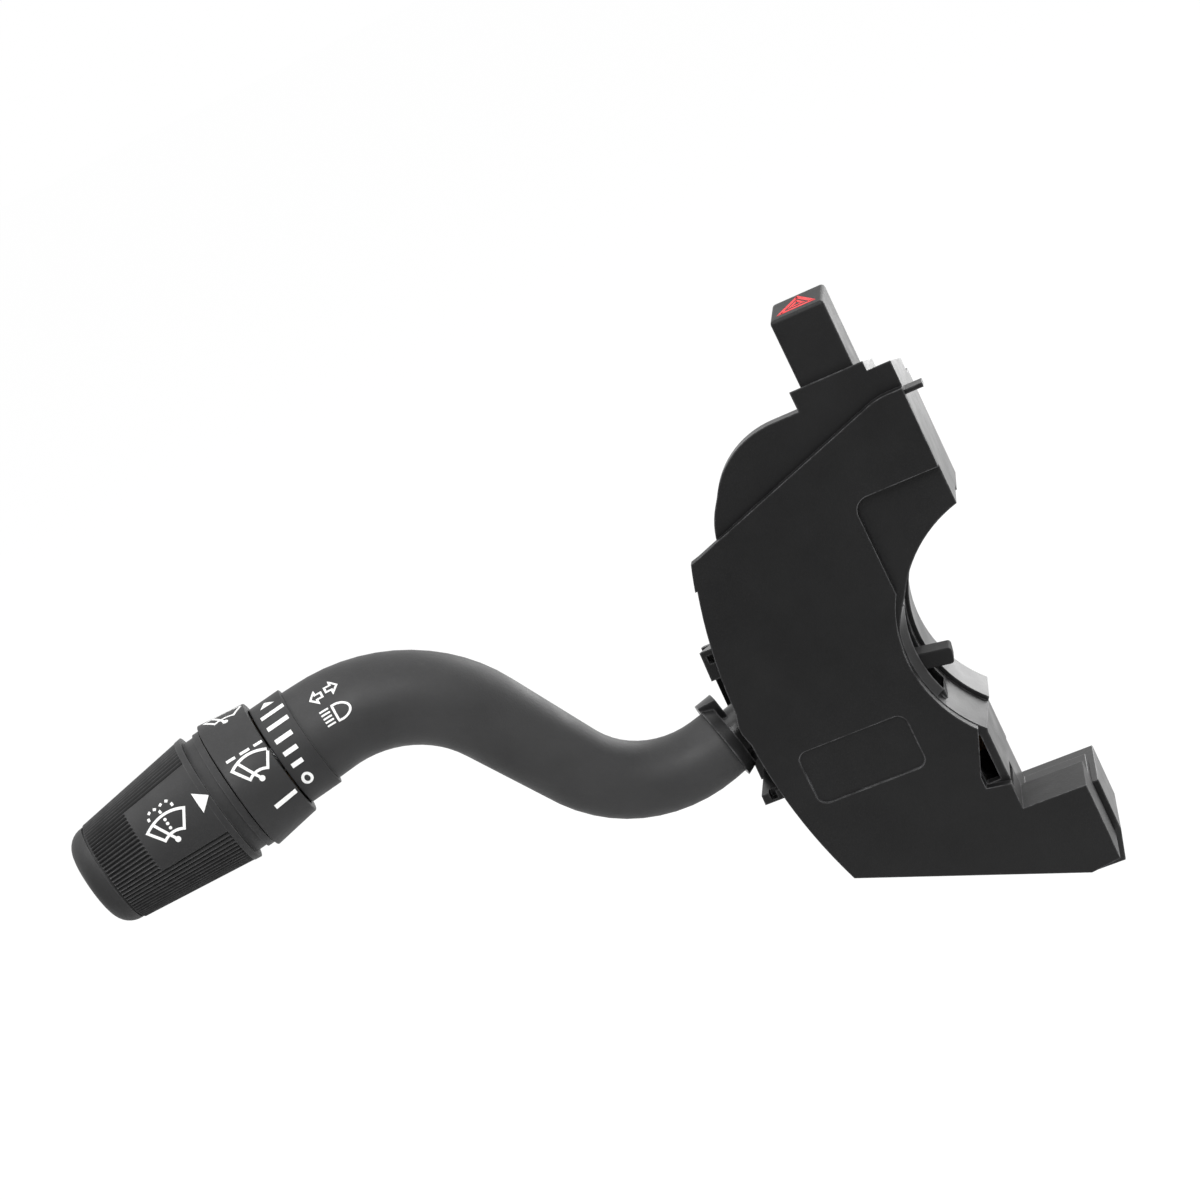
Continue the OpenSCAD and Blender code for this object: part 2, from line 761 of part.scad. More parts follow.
// Moving carrier: forks the stalk's tongue, turns about the turn pivot
carrier_half = 7;
arm_t = 3;
arm_r = 4.5;
flash_x = -turn_pivot_x - flash_offset;
flash_share = 8.5 / 24;
flash_y = -housing_depth * flash_share;
web_half = 3.5;
web_x0 = -turn_pivot_x - web_half;
web_x1 = -turn_pivot_x + web_half;
carrier_front = 5;
carrier_y0 = inner_y + carrier_front;
carrier_back = 3.5;
carrier_y1 = -carrier_back;
tail_reach = 11.5;
tail_x = -turn_pivot_x + tail_reach;
tail_half = 3.4;
plunger_r = 2.2;
plunger_share = 9 / 24;
plunger_y = -housing_depth * plunger_share;
drive_arm_half = 2.4;
drive_arm_t = 4.4;
drive_arm_gap = 0.6;
peg_short = 0.4;
module turn_carrier() {
    color(natural) difference() {
        union() {
            translate([web_x0, carrier_y0, turn_pivot_z - carrier_half - arm_t])
                cube([web_x1 - web_x0, carrier_y1 - carrier_y0, 2 * (carrier_half + arm_t)]);
            for (z = [turn_pivot_z + carrier_half, turn_pivot_z - carrier_half - arm_t])
                translate([flash_x, flash_y, z]) {
                    cylinder(r = arm_r, h = arm_t);
                    translate([0, -arm_r, 0]) cube([web_x0 - flash_x + over, 2 * arm_r, arm_t]);
                }
            // Tail that holds the detent plunger
            translate([web_x1 - over, plunger_y - tail_half, turn_pivot_z - tail_half])
                cube([tail_x - web_x1 + over, 2 * tail_half, 2 * tail_half]);
            // Arm and peg that drive the contact slider
            translate([-turn_pivot_x - drive_arm_half, slider_y0 - drive_arm_t - drive_arm_gap,
                       slider_z - drive_arm_half])
                cube([2 * drive_arm_half, drive_arm_t, turn_pivot_z - carrier_half - slider_z]);
            y_rod(-turn_pivot_x, slider_z, slider_y0 - 2 * drive_arm_gap, slider_y1 - peg_short, peg_r);
        }
        y_rod(-turn_pivot_x, turn_pivot_z, front_y, 0, turn_pin_r + run_gap);
        translate([flash_x, flash_y, turn_pivot_z - 2 * carrier_half])
            cylinder(r = flash_pin_r + run_gap / 2, h = 4 * carrier_half);
        translate([tail_x + over, plunger_y, turn_pivot_z]) rotate([0, -90, 0])
            cylinder(r = plunger_r + run_gap, h = tail_x - web_x1 + over - bore_floor);
    }
}

bore_floor = 0.8;
nose_reach = 16.2;
plunger_len = 5.2;
// How far the plunger is pressed in as it climbs from notch to notch
detent_travel = 0.6;
module detent_plunger() {
    color(steel) translate([-turn_pivot_x + nose_reach - plunger_r, plunger_y, turn_pivot_z]) {
        sphere(r = plunger_r);
        rotate([0, -90, 0]) cylinder(r = plunger_r, h = plunger_len);
    }
}

track_wall = 2.6;
track_notch = 0.7;
track_open_angle = 28;
module detent_track() {
    color(natural) difference() {
        y_rod(-turn_pivot_x, turn_pivot_z, plunger_y - tail_half, floor_y,
              nose_reach + move_gap + track_wall);
        y_rod(-turn_pivot_x, turn_pivot_z, plunger_y - 2 * tail_half, 0, nose_reach + move_gap);
        for (a = [-turn_swing, 0, turn_swing])
            translate([-turn_pivot_x, plunger_y, turn_pivot_z]) rotate([0, a, 0])
                translate([nose_reach - plunger_r, 0, 0]) sphere(r = plunger_r + track_notch);
        translate([-turn_pivot_x - 2 * nose_reach, front_y, turn_pivot_z - 2 * nose_reach])
            cube([nose_reach * (2 + cos(track_open_angle)), housing_depth, 4 * nose_reach]);
    }
}

// Helical spring of round wire along +Z, ends included
function helix_ring(p, r, w, a, s) =
    [for (k = [0:s - 1])
        let (b = 360 * k / s, d = r + w * cos(b))
        [d * cos(a), d * sin(a), p + w * sin(b)]];
module spring(r, w, len, turns, s = 6, per_turn = 14) {
    n = turns * per_turn;
    rings = [for (k = [0:n]) helix_ring(w + (len - 2 * w) * k / n, r, w, 360 * k / per_turn, s)];
    points = [for (ring = rings) each ring];
    sides = [for (k = [0:n - 1], j = [0:s - 1])
        let (a = k * s + j, b = k * s + (j + 1) % s) [a, a + s, b + s, b]];
    first = [for (j = [0:s - 1]) j];
    last = [for (j = [s - 1:-1:0]) n * s + j];
    polyhedron(points, concat([first], sides, [last]), convexity = 8);
}

// Drawn at its pressed length, so that it clears the plunger over its travel
module detent_spring() {
    start = web_x1 + bore_floor + spring_gap / 2;
    end = -turn_pivot_x + nose_reach - plunger_r - plunger_len - detent_travel - spring_gap;
    color(steel) translate([start, plunger_y, turn_pivot_z]) rotate([0, 90, 0])
        spring(plunger_r - detent_wire * 2, detent_wire, end - start, 3);
}

// Stalk

root_out = 8.1;
root_x = -housing_left - root_out;
root_share = 14 / 24;
root_y = -housing_depth * root_share;
root_z = -5.6;
module in_stalk_plane() {
    translate([root_x, root_y, root_z]) rotate([0, 0, 180 + stalk_lead]) children();
}
module in_root_frame() {
    in_stalk_plane() rotate([0, 90 + root_droop, 0]) children();
}

root_run = 2.9;
upper_bend_angle = lower_bend_angle - root_droop + knob_droop;
lower_len = lower_bend_r * lower_bend_angle * PI / 180;
upper_len = upper_bend_r * upper_bend_angle * PI / 180;
stop1 = root_run;
stop2 = stop1 + lower_len;
stop3 = stop2 + middle_run;
stop4 = stop3 + upper_len;
stalk_len = stop4 + knob_run;

// Heading and place of the stalk's centre line at a distance along it
function heading(s) = -root_droop
    + lower_bend_angle * max(0, min(1, (s - stop1) / lower_len))
    - upper_bend_angle * max(0, min(1, (s - stop3) / upper_len));
function ray(a) = [cos(a), sin(a)];
function side_of(a) = [-sin(a), cos(a)];
function place(s) =
    s <= stop1 ? s * ray(-root_droop) :
    s <= stop2 ? place(stop1) + lower_bend_r * (side_of(-root_droop) - side_of(heading(s))) :
    s <= stop3 ? place(stop2) + (s - stop2) * ray(heading(stop2)) :
    s <= stop4 ? place(stop3) - upper_bend_r * (side_of(heading(stop3)) - side_of(heading(s))) :
    place(stop4) + (s - stop4) * ray(-knob_droop);
function stalk_r(s) = stalk_root_r + (stalk_end_r - stalk_root_r) * s / stalk_len;
function stalk_ring(s, r, n) = [for (k = [0:n - 1])
    let (a = 360 * k / n, p = place(s) + r * sin(a) * side_of(heading(s))) [p[0], r * cos(a), p[1]]];

// Side faces between m rings of n points each
function quads(m, n) = [for (k = [0:m - 2], j = [0:n - 1])
    let (a = k * n + j, b = k * n + (j + 1) % n) [a, a + n, b + n, b]];

stalk_steps = 34;
stalk_stations = [for (k = [0:stalk_steps]) stalk_len * k / stalk_steps];
module stalk_tube() {
    n = 40;
    m = len(stalk_stations);
    outer = [for (s = stalk_stations) each stalk_ring(s, stalk_r(s), n)];
    inner = [for (s = stalk_stations) each stalk_ring(s, stalk_r(s) - stalk_wall, n)];
    skin = quads(m, n);
    o = m * n;
    lining = [for (f = skin) [f[3] + o, f[2] + o, f[1] + o, f[0] + o]];
    start = [for (j = [0:n - 1]) [j, (j + 1) % n, o + (j + 1) % n, o + j]];
    e = (m - 1) * n;
    end = [for (f = start) [f[3] + e, f[2] + e, f[1] + e, f[0] + e]];
    color(charcoal) in_stalk_plane()
        polyhedron(concat(outer, inner), concat(skin, lining, start, end), convexity = 8);
}

loom_r = 2.6;
spigot_len = 4;
module stalk_loom() {
    n = 8;
    stations = [for (k = [0:20]) spigot_root + (stalk_len - spigot_len - spigot_root) * k / 20];
    points = [for (s = stations) each stalk_ring(s, loom_r, n)];
    m = len(stations);
    color(black) in_stalk_plane() polyhedron(points,
        concat([[for (j = [0:n - 1]) j]], quads(m, n), [[for (j = [n - 1:-1:0]) (m - 1) * n + j]]),
        convexity = 8);
}

root_collar_r = 9.6;
root_collar_t = 2.8;
root_collar_taper = 1;
neck_len_in = 15;
root_neck_r = 5.8;
spigot_root = 2.6;
tongue_r = 5;
tongue_rise = 2.6;
tongue_z0 = turn_pivot_z - carrier_half + move_gap;
tongue_z1 = turn_pivot_z + tongue_rise;
tongue_len = 9.5;
tongue_w = 8.6;
// Block between the collar and the housing, higher than the tube and flat in front and behind
block_rise = 1.2;
block_len = 4.4;
block_r = 9.4;
block_in = 9;
block_y0 = front_y + block_in;
block_w = 8.4;
module stalk_root() {
    color(charcoal) difference() {
        union() {
            in_root_frame() {
                translate([0, 0, -root_collar_t])
                    cylinder(r1 = root_collar_r - root_collar_taper, r2 = root_collar_r, h = root_collar_t);
                cylinder(r = stalk_root_r - stalk_wall - run_gap, h = spigot_root);
                translate([0, 0, -neck_len_in]) cylinder(r = root_neck_r, h = neck_len_in);
            }
            intersection() {
                in_root_frame() translate([-block_rise, 0, -block_len]) cylinder(r = block_r, h = block_len);
                translate([-2 * housing_left, block_y0, -housing_left])
                    cube([2 * housing_left, block_w, 2 * housing_left]);
            }
            translate([flash_x, flash_y, tongue_z0]) {
                cylinder(r = tongue_r, h = tongue_z1 - tongue_z0);
                translate([-tongue_len, 2 * run_gap - tongue_r, 0])
                    cube([tongue_len, tongue_w, tongue_z1 - tongue_z0]);
            }
        }
        translate([flash_x, flash_y, tongue_z0 - tongue_r])
            cylinder(r = flash_pin_r + run_gap, h = 8 * tongue_r);
    }
}

module flash_pivot_pin() {
    color(steel) translate([flash_x, flash_y, turn_pivot_z - carrier_half - arm_t])
        cylinder(r = flash_pin_r, h = 2 * (carrier_half + arm_t));
}

flash_wire = 0.35;
flash_spring_r = 2.9;
module flash_spring() {
    color(steel) translate([flash_x, flash_y, tongue_z1 + move_gap])
        spring(flash_spring_r, flash_wire,
               turn_pivot_z + carrier_half - tongue_z1 - move_gap - spring_gap, 3);
}

// Knob end: local +Z runs outwards along the knob's axis from the stalk's end
module in_knob_frame() {
    end = place(stalk_len);
    in_stalk_plane() translate([end[0], 0, end[1]]) rotate([0, 90 + knob_droop, 0]) children();
}

disc_t = 1.2;
press_gap = 0.02;
module scale_collar() {
    color(charcoal) in_knob_frame() difference() {
        union() {
            cylinder(r = collar_r, h = collar_len);
            translate([0, 0, over - spigot_len])
                cylinder(r = stalk_end_r - stalk_wall - fit_gap, h = spigot_len);
        }
        translate([0, 0, -spigot_len]) cylinder(r = spindle_r + press_gap, h = 2 * spigot_len + collar_len);
        translate([0, 0, collar_len - disc_t]) cylinder(r = collar_r - wall, h = disc_t + over);
    }
}

module wiper_contact_disc() {
    color(amber) in_knob_frame() translate([0, 0, collar_len - disc_t]) difference() {
        cylinder(r = collar_r - wall - run_gap, h = disc_t - fit_gap);
        translate([0, 0, -over]) cylinder(r = spindle_r + press_gap, h = disc_t + 2 * over);
    }
}

ring_z = collar_len + move_gap;
ring_web_t = 2.6;
ring_web_in = 2.4;
ring_web_z = ring_z + ring_web_in;
neck_z = ring_z + ring_len + move_gap;
knob_z = neck_z + neck_len - move_gap;
clip_t = 0.8;
clip_w = 2;
hub_reach = 10;
hub_end = knob_z + hub_reach;
// Raised band on the neck beside the ring
band_h = 0.5;
band_len = 1.6;
module knob_spindle() {
    color(steel) in_knob_frame() translate([0, 0, over - spigot_len])
        cylinder(r = spindle_r, h = hub_end + 2 * spigot_len);
}

module spindle_clip() {
    color(steel) in_knob_frame() translate([0, 0, hub_end + move_gap]) difference() {
        cylinder(r = spindle_r + clip_w, h = clip_t);
        translate([0, 0, -over]) cylinder(r = spindle_r + press_gap, h = clip_t + 2 * over);
    }
}

peg_ring_r = 9;
drive_peg_r = 1.2;
module wiper_ring() {
    sink_z = neck_z - wash_travel - 2 * move_gap;
    color(charcoal) in_knob_frame() difference() {
        translate([0, 0, ring_z]) cylinder(r1 = ring_r1, r2 = ring_r2, h = ring_len);
        translate([0, 0, ring_z - over]) cylinder(r = ring_r1 - wall, h = ring_web_z - ring_z + over);
        translate([0, 0, ring_web_z + ring_web_t]) cylinder(r = neck_r - wall, h = ring_len);
        translate([0, 0, sink_z]) cylinder(r = neck_r + band_h + move_gap, h = ring_len);
        translate([0, 0, ring_z]) cylinder(r = spindle_r + run_gap, h = ring_len);
        for (a = [0, 120, 240]) rotate([0, 0, a]) translate([peg_ring_r, 0, ring_z])
            cylinder(r = drive_peg_r + move_gap, h = ring_len);
    }
}

rotor_in = 5.4;
rotor_len = 5.2;
rotor_w = 2;
module rotor_wipers() {
    color(brass) in_knob_frame() for (a = [60, 180, 300]) rotate([0, 0, a])
        translate([rotor_in, -rotor_w / 2, ring_z + spring_gap])
            cube([rotor_len, rotor_w, ring_web_z - ring_z - spring_gap]);
}

// Ribbed profile: fine ribs all round but for the smooth panel of the given width
panel_turn_angle = 116;
rib_angle = 180 / rib_count;
function away(a) = min(abs(a - panel_turn_angle), abs(a - panel_turn_angle - 360));
function rib_ring(z, panel) = [for (k = [0:2 * rib_count - 1])
    let (a = k * rib_angle, raised = away(a) < panel / 2 || k % 2 == 0,
         r = raised ? knob_r(z) : knob_r(z) - rib_depth)
    [r * cos(a), r * sin(a), z]];
knob_wall = 2.4;
rim_len = 1.5;
hub_wall = 3;
function knob_r(z) = knob_r1 + (knob_r2 - knob_r1) * z / knob_len;
rim_step = 0.1;
module ribbed_body() {
    n = 2 * rib_count;
    rings = [rib_ring(rim_len / 2, panel_angle), rib_ring(panel_len, panel_angle),
             rib_ring(panel_len + rib_depth, 0), rib_ring(knob_len, 0)];
    last = 3 * n;
    points = [for (ring = rings) each ring];
    sides = [for (q = quads(4, n)) each [[q[0], q[1], q[2]], [q[0], q[2], q[3]]]];
    translate([0, 0, knob_z]) polyhedron(points, concat(
        [[for (j = [0:n - 1]) j]], sides, [[for (j = [n - 1:-1:0]) last + j]]), convexity = 8);
}

module washer_knob() {
    color(charcoal) in_knob_frame() {
        difference() {
            union() {
                translate([0, 0, knob_z])
                    cylinder(r1 = knob_r1 + rim_step, r2 = knob_r(rim_len) + rim_step, h = rim_len);
                ribbed_body();
                translate([0, 0, neck_z]) cylinder(r = neck_r, h = neck_len);
                translate([0, 0, neck_z]) cylinder(r = neck_r + band_h, h = band_len);
            }
            translate([0, 0, neck_z - over]) cylinder(r = neck_r - wall, h = neck_len);
            translate([0, 0, knob_z + wall])
                cylinder(
                    r1 = knob_r1 - knob_wall - rib_depth,
                    r2 = knob_r2 - knob_wall,
                    h = knob_len - 2 * wall);
            translate([0, 0, knob_z + knob_len - 2 * wall]) cylinder(r = cap_boss_r, h = 3 * wall);
            translate([0, 0, knob_z - over]) cylinder(r = spindle_r + hub_wall - over, h = wall + 2 * over);
        }
        difference() {
            translate([0, 0, neck_z + hub_in])
                cylinder(r = spindle_r + hub_wall, h = hub_end - neck_z - hub_in);
            translate([0, 0, neck_z]) cylinder(r = spindle_r + run_gap, h = hub_end);
        }
        for (a = [0, 120, 240]) rotate([0, 0, a]) translate([peg_ring_r, 0, ring_web_z + drive_peg_r])
            cylinder(r = drive_peg_r, h = knob_z - ring_web_z);
    }
}

hub_in = 1;
cap_boss_r = 5;
cap_round = 4.8;
cap_step = 0.3;
crease_w = 0.5;
crease_d = 0.5;
module knob_cap() {
    rim = knob_r2 - cap_step;
    color(charcoal) in_knob_frame() translate([0, 0, knob_z + knob_len]) {
        rotate_extrude() polygon(concat(
            [[0, -2 * wall], [cap_boss_r - run_gap, -2 * wall], [cap_boss_r - run_gap, 0],
             [rim - crease_d, 0], [rim - crease_d, crease_w], [rim, crease_w]],
            arc([rim - cap_round, cap_len - cap_round], cap_round, 0, 90, 9),
            [[0, cap_len]]));
    }
}

// Drawn at its pressed length, so that it clears the knob over its travel
washer_wire = 0.4;
washer_spring_gap = 1.2;
module washer_spring() {
    start = ring_web_z + ring_web_t + spring_gap;
    end = neck_z + hub_in - wash_travel - 2 * spring_gap;
    color(steel) in_knob_frame() translate([0, 0, start])
        spring(spindle_r + washer_spring_gap, washer_wire, end - start, 3);
}

// Hazard button and what it works

hazard_top = tower_top + hazard_rise;
stem_w = 8;
stem_bottom = 45;
stem_y1 = part_y - move_gap;
stem_y0 = inner_y + 2 * tower_wall + tower_gap * 2 + wall;
stem_d = stem_y1 - stem_y0;
head_bottom = base_top + hazard_travel + 2 * move_gap;
module hazard_button() {
    color(black) {
        translate([-hazard_x - hazard_w / 2, button_y0, head_bottom])
            cube([hazard_w, hazard_d, hazard_top - head_bottom]);
        translate([-hazard_x - stem_w / 2, stem_y1 - stem_d, stem_bottom])
            cube([stem_w, stem_d, head_bottom - stem_bottom]);
    }
}

contact_w = 4;
contact_t = 1;
contact_h = 6;
contact_lift = 2;
module hazard_contact() {
    color(brass) translate([-hazard_x - contact_w / 2, stem_y1, stem_bottom + contact_lift])
        cube([contact_w, contact_t, contact_h]);
}

hazard_wire = 0.4;
seat_gap = 1.4;
spring_seat_z = sqrt(pow(housing_arch_r + wall, 2) - pow(hazard_x - stem_w / 2, 2)) + seat_gap;
module hazard_spring() {
    color(steel) translate([-hazard_x, stem_y1 - stem_d / 2, spring_seat_z])
        spring(stem_d / 2 - hazard_wire / 2, hazard_wire, stem_bottom - spring_seat_z - spring_gap, 6);
}

// Cancelling pawl
pawl_pin_r = 1.45;
pawl_tilt_angle = 10;
pawl_z = -1.5;
pawl_hub_r = 3;
pawl_tail_len = 5;
pawl_tail_h = 2.4;
pawl_corner = 0.8;
module cancel_pawl() {
    color(black) translate([-pawl_pivot_x, 0, pawl_z]) rotate([0, pawl_tilt_angle, 0]) difference() {
        union() {
            y_rod(0, 0, pawl_y0, pawl_y1, pawl_hub_r);
            slab(pawl_y0, pawl_y1) polygon(concat(
                [[0, -pawl_h / 2]],
                arc([pawl_len - pawl_corner, pawl_corner - pawl_h / 2], pawl_corner, -90, 0, 4),
                arc([pawl_len - pawl_corner, pawl_h / 2 - pawl_corner], pawl_corner, 0, 90, 4),
                [[0, pawl_h / 2]]));
            translate([-pawl_tail_len, pawl_y0, -pawl_tail_h / 2])
                cube([pawl_tail_len, pawl_t, pawl_tail_h]);
        }
        y_rod(0, 0, pawl_y0 - over, pawl_y1 + over, pawl_pin_r + run_gap);
    }
}

module pawl_pin() {
    color(steel) y_rod(-pawl_pivot_x, pawl_z, inner_y + wall / 2 + fit_gap, pawl_y1 + over, pawl_pin_r);
}

pawl_spring_r = 1.5;
pawl_wire = 0.3;
pawl_spring_len = 6;
pawl_spring_in = 3.6;
pawl_spring_lift = 3.4;
module pawl_spring() {
    color(steel)
        translate([-pawl_pivot_x - pawl_spring_in, (pawl_y0 + pawl_y1) / 2, pawl_z + pawl_spring_lift])
        spring(pawl_spring_r, pawl_wire, pawl_spring_len, 4);
}

front_cover();
switch_housing();
rear_base();
connector_shroud();
contact_board();
fixed_contacts();
turn_terminals();
wiper_terminals();
case_screws();
mounting_inserts();
lever_bezel();
turn_pivot_pin();
detent_track();
slider_rails();
turn_carrier();
detent_plunger();
detent_spring();
contact_slider();
slider_contacts();
stalk_root();
flash_pivot_pin();
flash_spring();
stalk_tube();
stalk_loom();
scale_collar();
wiper_contact_disc();
knob_spindle();
spindle_clip();
wiper_ring();
rotor_wipers();
washer_knob();
knob_cap();
washer_spring();
hazard_button();
hazard_contact();
hazard_spring();
cancel_pawl();
pawl_pin();
pawl_spring();
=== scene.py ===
"""Looks of the combination stalk switch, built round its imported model.

Metres, in the model's frame: X to the driver's right, -Y towards the driver, +Z up,
with the steering column's axis at the origin. Sizes of small features are in millimetres
and are turned into metres by MM.
"""

import json
import math

import bmesh
import bpy
from mathutils import Matrix, Vector
from mathutils.bvhtree import BVHTree

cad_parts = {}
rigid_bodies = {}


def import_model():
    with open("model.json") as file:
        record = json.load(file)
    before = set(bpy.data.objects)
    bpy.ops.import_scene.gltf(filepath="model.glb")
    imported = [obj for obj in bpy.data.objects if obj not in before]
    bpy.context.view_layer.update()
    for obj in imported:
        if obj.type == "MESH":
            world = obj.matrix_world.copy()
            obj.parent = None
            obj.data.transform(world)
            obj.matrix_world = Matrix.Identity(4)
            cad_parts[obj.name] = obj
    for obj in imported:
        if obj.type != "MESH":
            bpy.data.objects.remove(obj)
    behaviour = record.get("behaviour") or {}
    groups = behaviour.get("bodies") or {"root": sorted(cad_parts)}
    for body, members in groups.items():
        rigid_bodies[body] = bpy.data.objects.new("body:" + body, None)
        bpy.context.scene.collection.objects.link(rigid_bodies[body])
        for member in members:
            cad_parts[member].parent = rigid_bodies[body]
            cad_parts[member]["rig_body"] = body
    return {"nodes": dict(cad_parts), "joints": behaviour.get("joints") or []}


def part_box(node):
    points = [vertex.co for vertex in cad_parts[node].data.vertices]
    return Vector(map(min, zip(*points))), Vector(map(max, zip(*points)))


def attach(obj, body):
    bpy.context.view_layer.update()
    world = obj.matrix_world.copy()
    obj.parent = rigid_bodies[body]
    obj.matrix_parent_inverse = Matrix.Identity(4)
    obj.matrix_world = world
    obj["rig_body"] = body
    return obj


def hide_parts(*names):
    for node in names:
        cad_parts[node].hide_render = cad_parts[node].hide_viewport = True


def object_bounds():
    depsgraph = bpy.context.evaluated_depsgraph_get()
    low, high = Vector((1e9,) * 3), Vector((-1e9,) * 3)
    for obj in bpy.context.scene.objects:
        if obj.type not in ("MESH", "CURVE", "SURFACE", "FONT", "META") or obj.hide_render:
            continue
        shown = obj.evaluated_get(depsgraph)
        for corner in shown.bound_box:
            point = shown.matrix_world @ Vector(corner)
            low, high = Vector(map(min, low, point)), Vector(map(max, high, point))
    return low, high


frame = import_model()
cad_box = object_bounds()

MM = 0.001

# Camera

CAMERA_PLACE = Vector((0.05405, -0.5336, 0.2145))
CAMERA_RIGHT = Vector((0.8916, 0.1009, -0.4413))
CAMERA_UP = Vector((0.3725, 0.3906, 0.8418))
CAMERA_LENS = 75
CAMERA_SENSOR = 36


def make_camera():
    """The camera at the photograph's angle, rolled as the photograph is."""
    data = bpy.data.cameras.new("camera")
    data.lens = CAMERA_LENS
    data.sensor_width = CAMERA_SENSOR
    camera = bpy.data.objects.new("camera", data)
    bpy.context.scene.collection.objects.link(camera)
    right = CAMERA_RIGHT.normalized()
    back = right.cross(CAMERA_UP).normalized()
    turn = Matrix((right, back.cross(right), back)).transposed()
    camera.matrix_world = Matrix.Translation(CAMERA_PLACE) @ turn.to_4x4()
    bpy.context.scene.camera = camera


make_camera()

# Shader helpers


def new_group(name, inputs, outputs):
    """An empty shader node group with number inputs and typed outputs."""
    group = bpy.data.node_groups.new(name, "ShaderNodeTree")
    for label, value in inputs.items():
        socket = group.interface.new_socket(label, in_out="INPUT", socket_type="NodeSocketFloat")
        socket.default_value = value
    for label, kind in outputs.items():
        group.interface.new_socket(label, in_out="OUTPUT", socket_type=f"NodeSocket{kind}")
    return group, group.nodes.new("NodeGroupInput"), group.nodes.new("NodeGroupOutput")


def noise(tree, place, scale, detail=3.0, rough=0.55):
    """A noise texture whose scale may be a number or a socket."""
    node = tree.nodes.new("ShaderNodeTexNoise")
    node.inputs["Detail"].default_value = detail
    node.inputs["Roughness"].default_value = rough
    tree.links.new(place, node.inputs["Vector"])
    feed(tree, scale, node.inputs["Scale"])
    return node.outputs["Fac"]


def feed(tree, value, socket):
    """Sets a socket to a number, or links it to another socket."""
    if isinstance(value, (int, float)):
        socket.default_value = value
    else:
        tree.links.new(value, socket)


def reckon(tree, operation, first, second=0.0):
    """A Math node's result."""
    node = tree.nodes.new("ShaderNodeMath")
    node.operation = operation
    feed(tree, first, node.inputs[0])
    feed(tree, second, node.inputs[1])
    return node.outputs["Value"]


def spread(tree, value, low, high, to_low=0.0, to_high=1.0):
    """A Map Range node's result, clamped."""
    node = tree.nodes.new("ShaderNodeMapRange")
    feed(tree, value, node.inputs["Value"])
    limits = {"From Min": low, "From Max": high, "To Min": to_low, "To Max": to_high}
    for label, number in limits.items():
        feed(tree, number, node.inputs[label])
    return node.outputs["Result"]


def blend_colour(tree, share, first, second):
    """A colour mix; first and second are colours or colour sockets."""
    node = tree.nodes.new("ShaderNodeMix")
    node.data_type = "RGBA"
    feed(tree, share, node.inputs["Factor"])
    for socket, value in zip([s for s in node.inputs if s.type == "RGBA"], (first, second)):
        if isinstance(value, tuple):
            socket.default_value = (*value, 1)
        else:
            tree.links.new(value, socket)
    return next(s for s in node.outputs if s.type == "RGBA")


def body_place(tree):
    """Coordinates that stay on the piece as its body moves."""
    return tree.nodes.new("ShaderNodeTexCoord").outputs["Object"]


# Mould grain: the scale of its cells against the fine noise, and their share of the height
CELL_SCALE, CELL_HEIGHT = 0.55, 0.7


def make_moulded_grain():
    """Spark-eroded mould grain, with the slow mottle of moulded plastic."""
    group, given, out = new_group(
        "moulded_grain",
        {"Fineness": 2600.0, "Mottle Scale": 60.0},
        {"Height": "Float", "Mottle": "Float"})
    place = body_place(group)
    fine = noise(group, place, given.outputs["Fineness"], detail=2.0, rough=0.6)
    cells = group.nodes.new("ShaderNodeTexVoronoi")
    cells.feature = "SMOOTH_F1"
    group.links.new(place, cells.inputs["Vector"])
    scale = reckon(group, "MULTIPLY", given.outputs["Fineness"], CELL_SCALE)
    group.links.new(scale, cells.inputs["Scale"])
    pits = reckon(group, "MULTIPLY", cells.outputs["Distance"], CELL_HEIGHT)
    group.links.new(reckon(group, "ADD", fine, pits), out.inputs["Height"])
    clouds = noise(group, place, given.outputs["Mottle Scale"], detail=4.0)
    group.links.new(spread(group, clouds, low=0.3, high=0.7), out.inputs["Mottle"])
    return group


# Rays that find a rounded edge
EDGE_SAMPLES = 6


def make_edge_wear_and_highlight():
    """Mask of rubbed edges, broken up by noise; the same mask also lays a painted edge highlight.
    """
    group, given, out = new_group(
        "edge_wear_and_highlight", {"Width": 0.0004, "Break Up": 400.0}, {"Mask": "Float"})
    rounded = group.nodes.new("ShaderNodeBevel")
    rounded.samples = EDGE_SAMPLES
    group.links.new(given.outputs["Width"], rounded.inputs["Radius"])
    plain = group.nodes.new("ShaderNodeNewGeometry").outputs["Normal"]
    match = group.nodes.new("ShaderNodeVectorMath")
    match.operation = "DOT_PRODUCT"
    group.links.new(rounded.outputs["Normal"], match.inputs[0])
    group.links.new(plain, match.inputs[1])
    edge = spread(group, match.outputs["Value"], low=0.985, high=0.86)
    patches = noise(group, body_place(group), given.outputs["Break Up"])
    broken = spread(group, patches, low=0.35, high=0.62, to_low=0.25)
    group.links.new(reckon(group, "MULTIPLY", edge, broken), out.inputs["Mask"])
    return group


# How much finer the dust's specks are than the patches of shine
SPECK_SCALE = 9.0


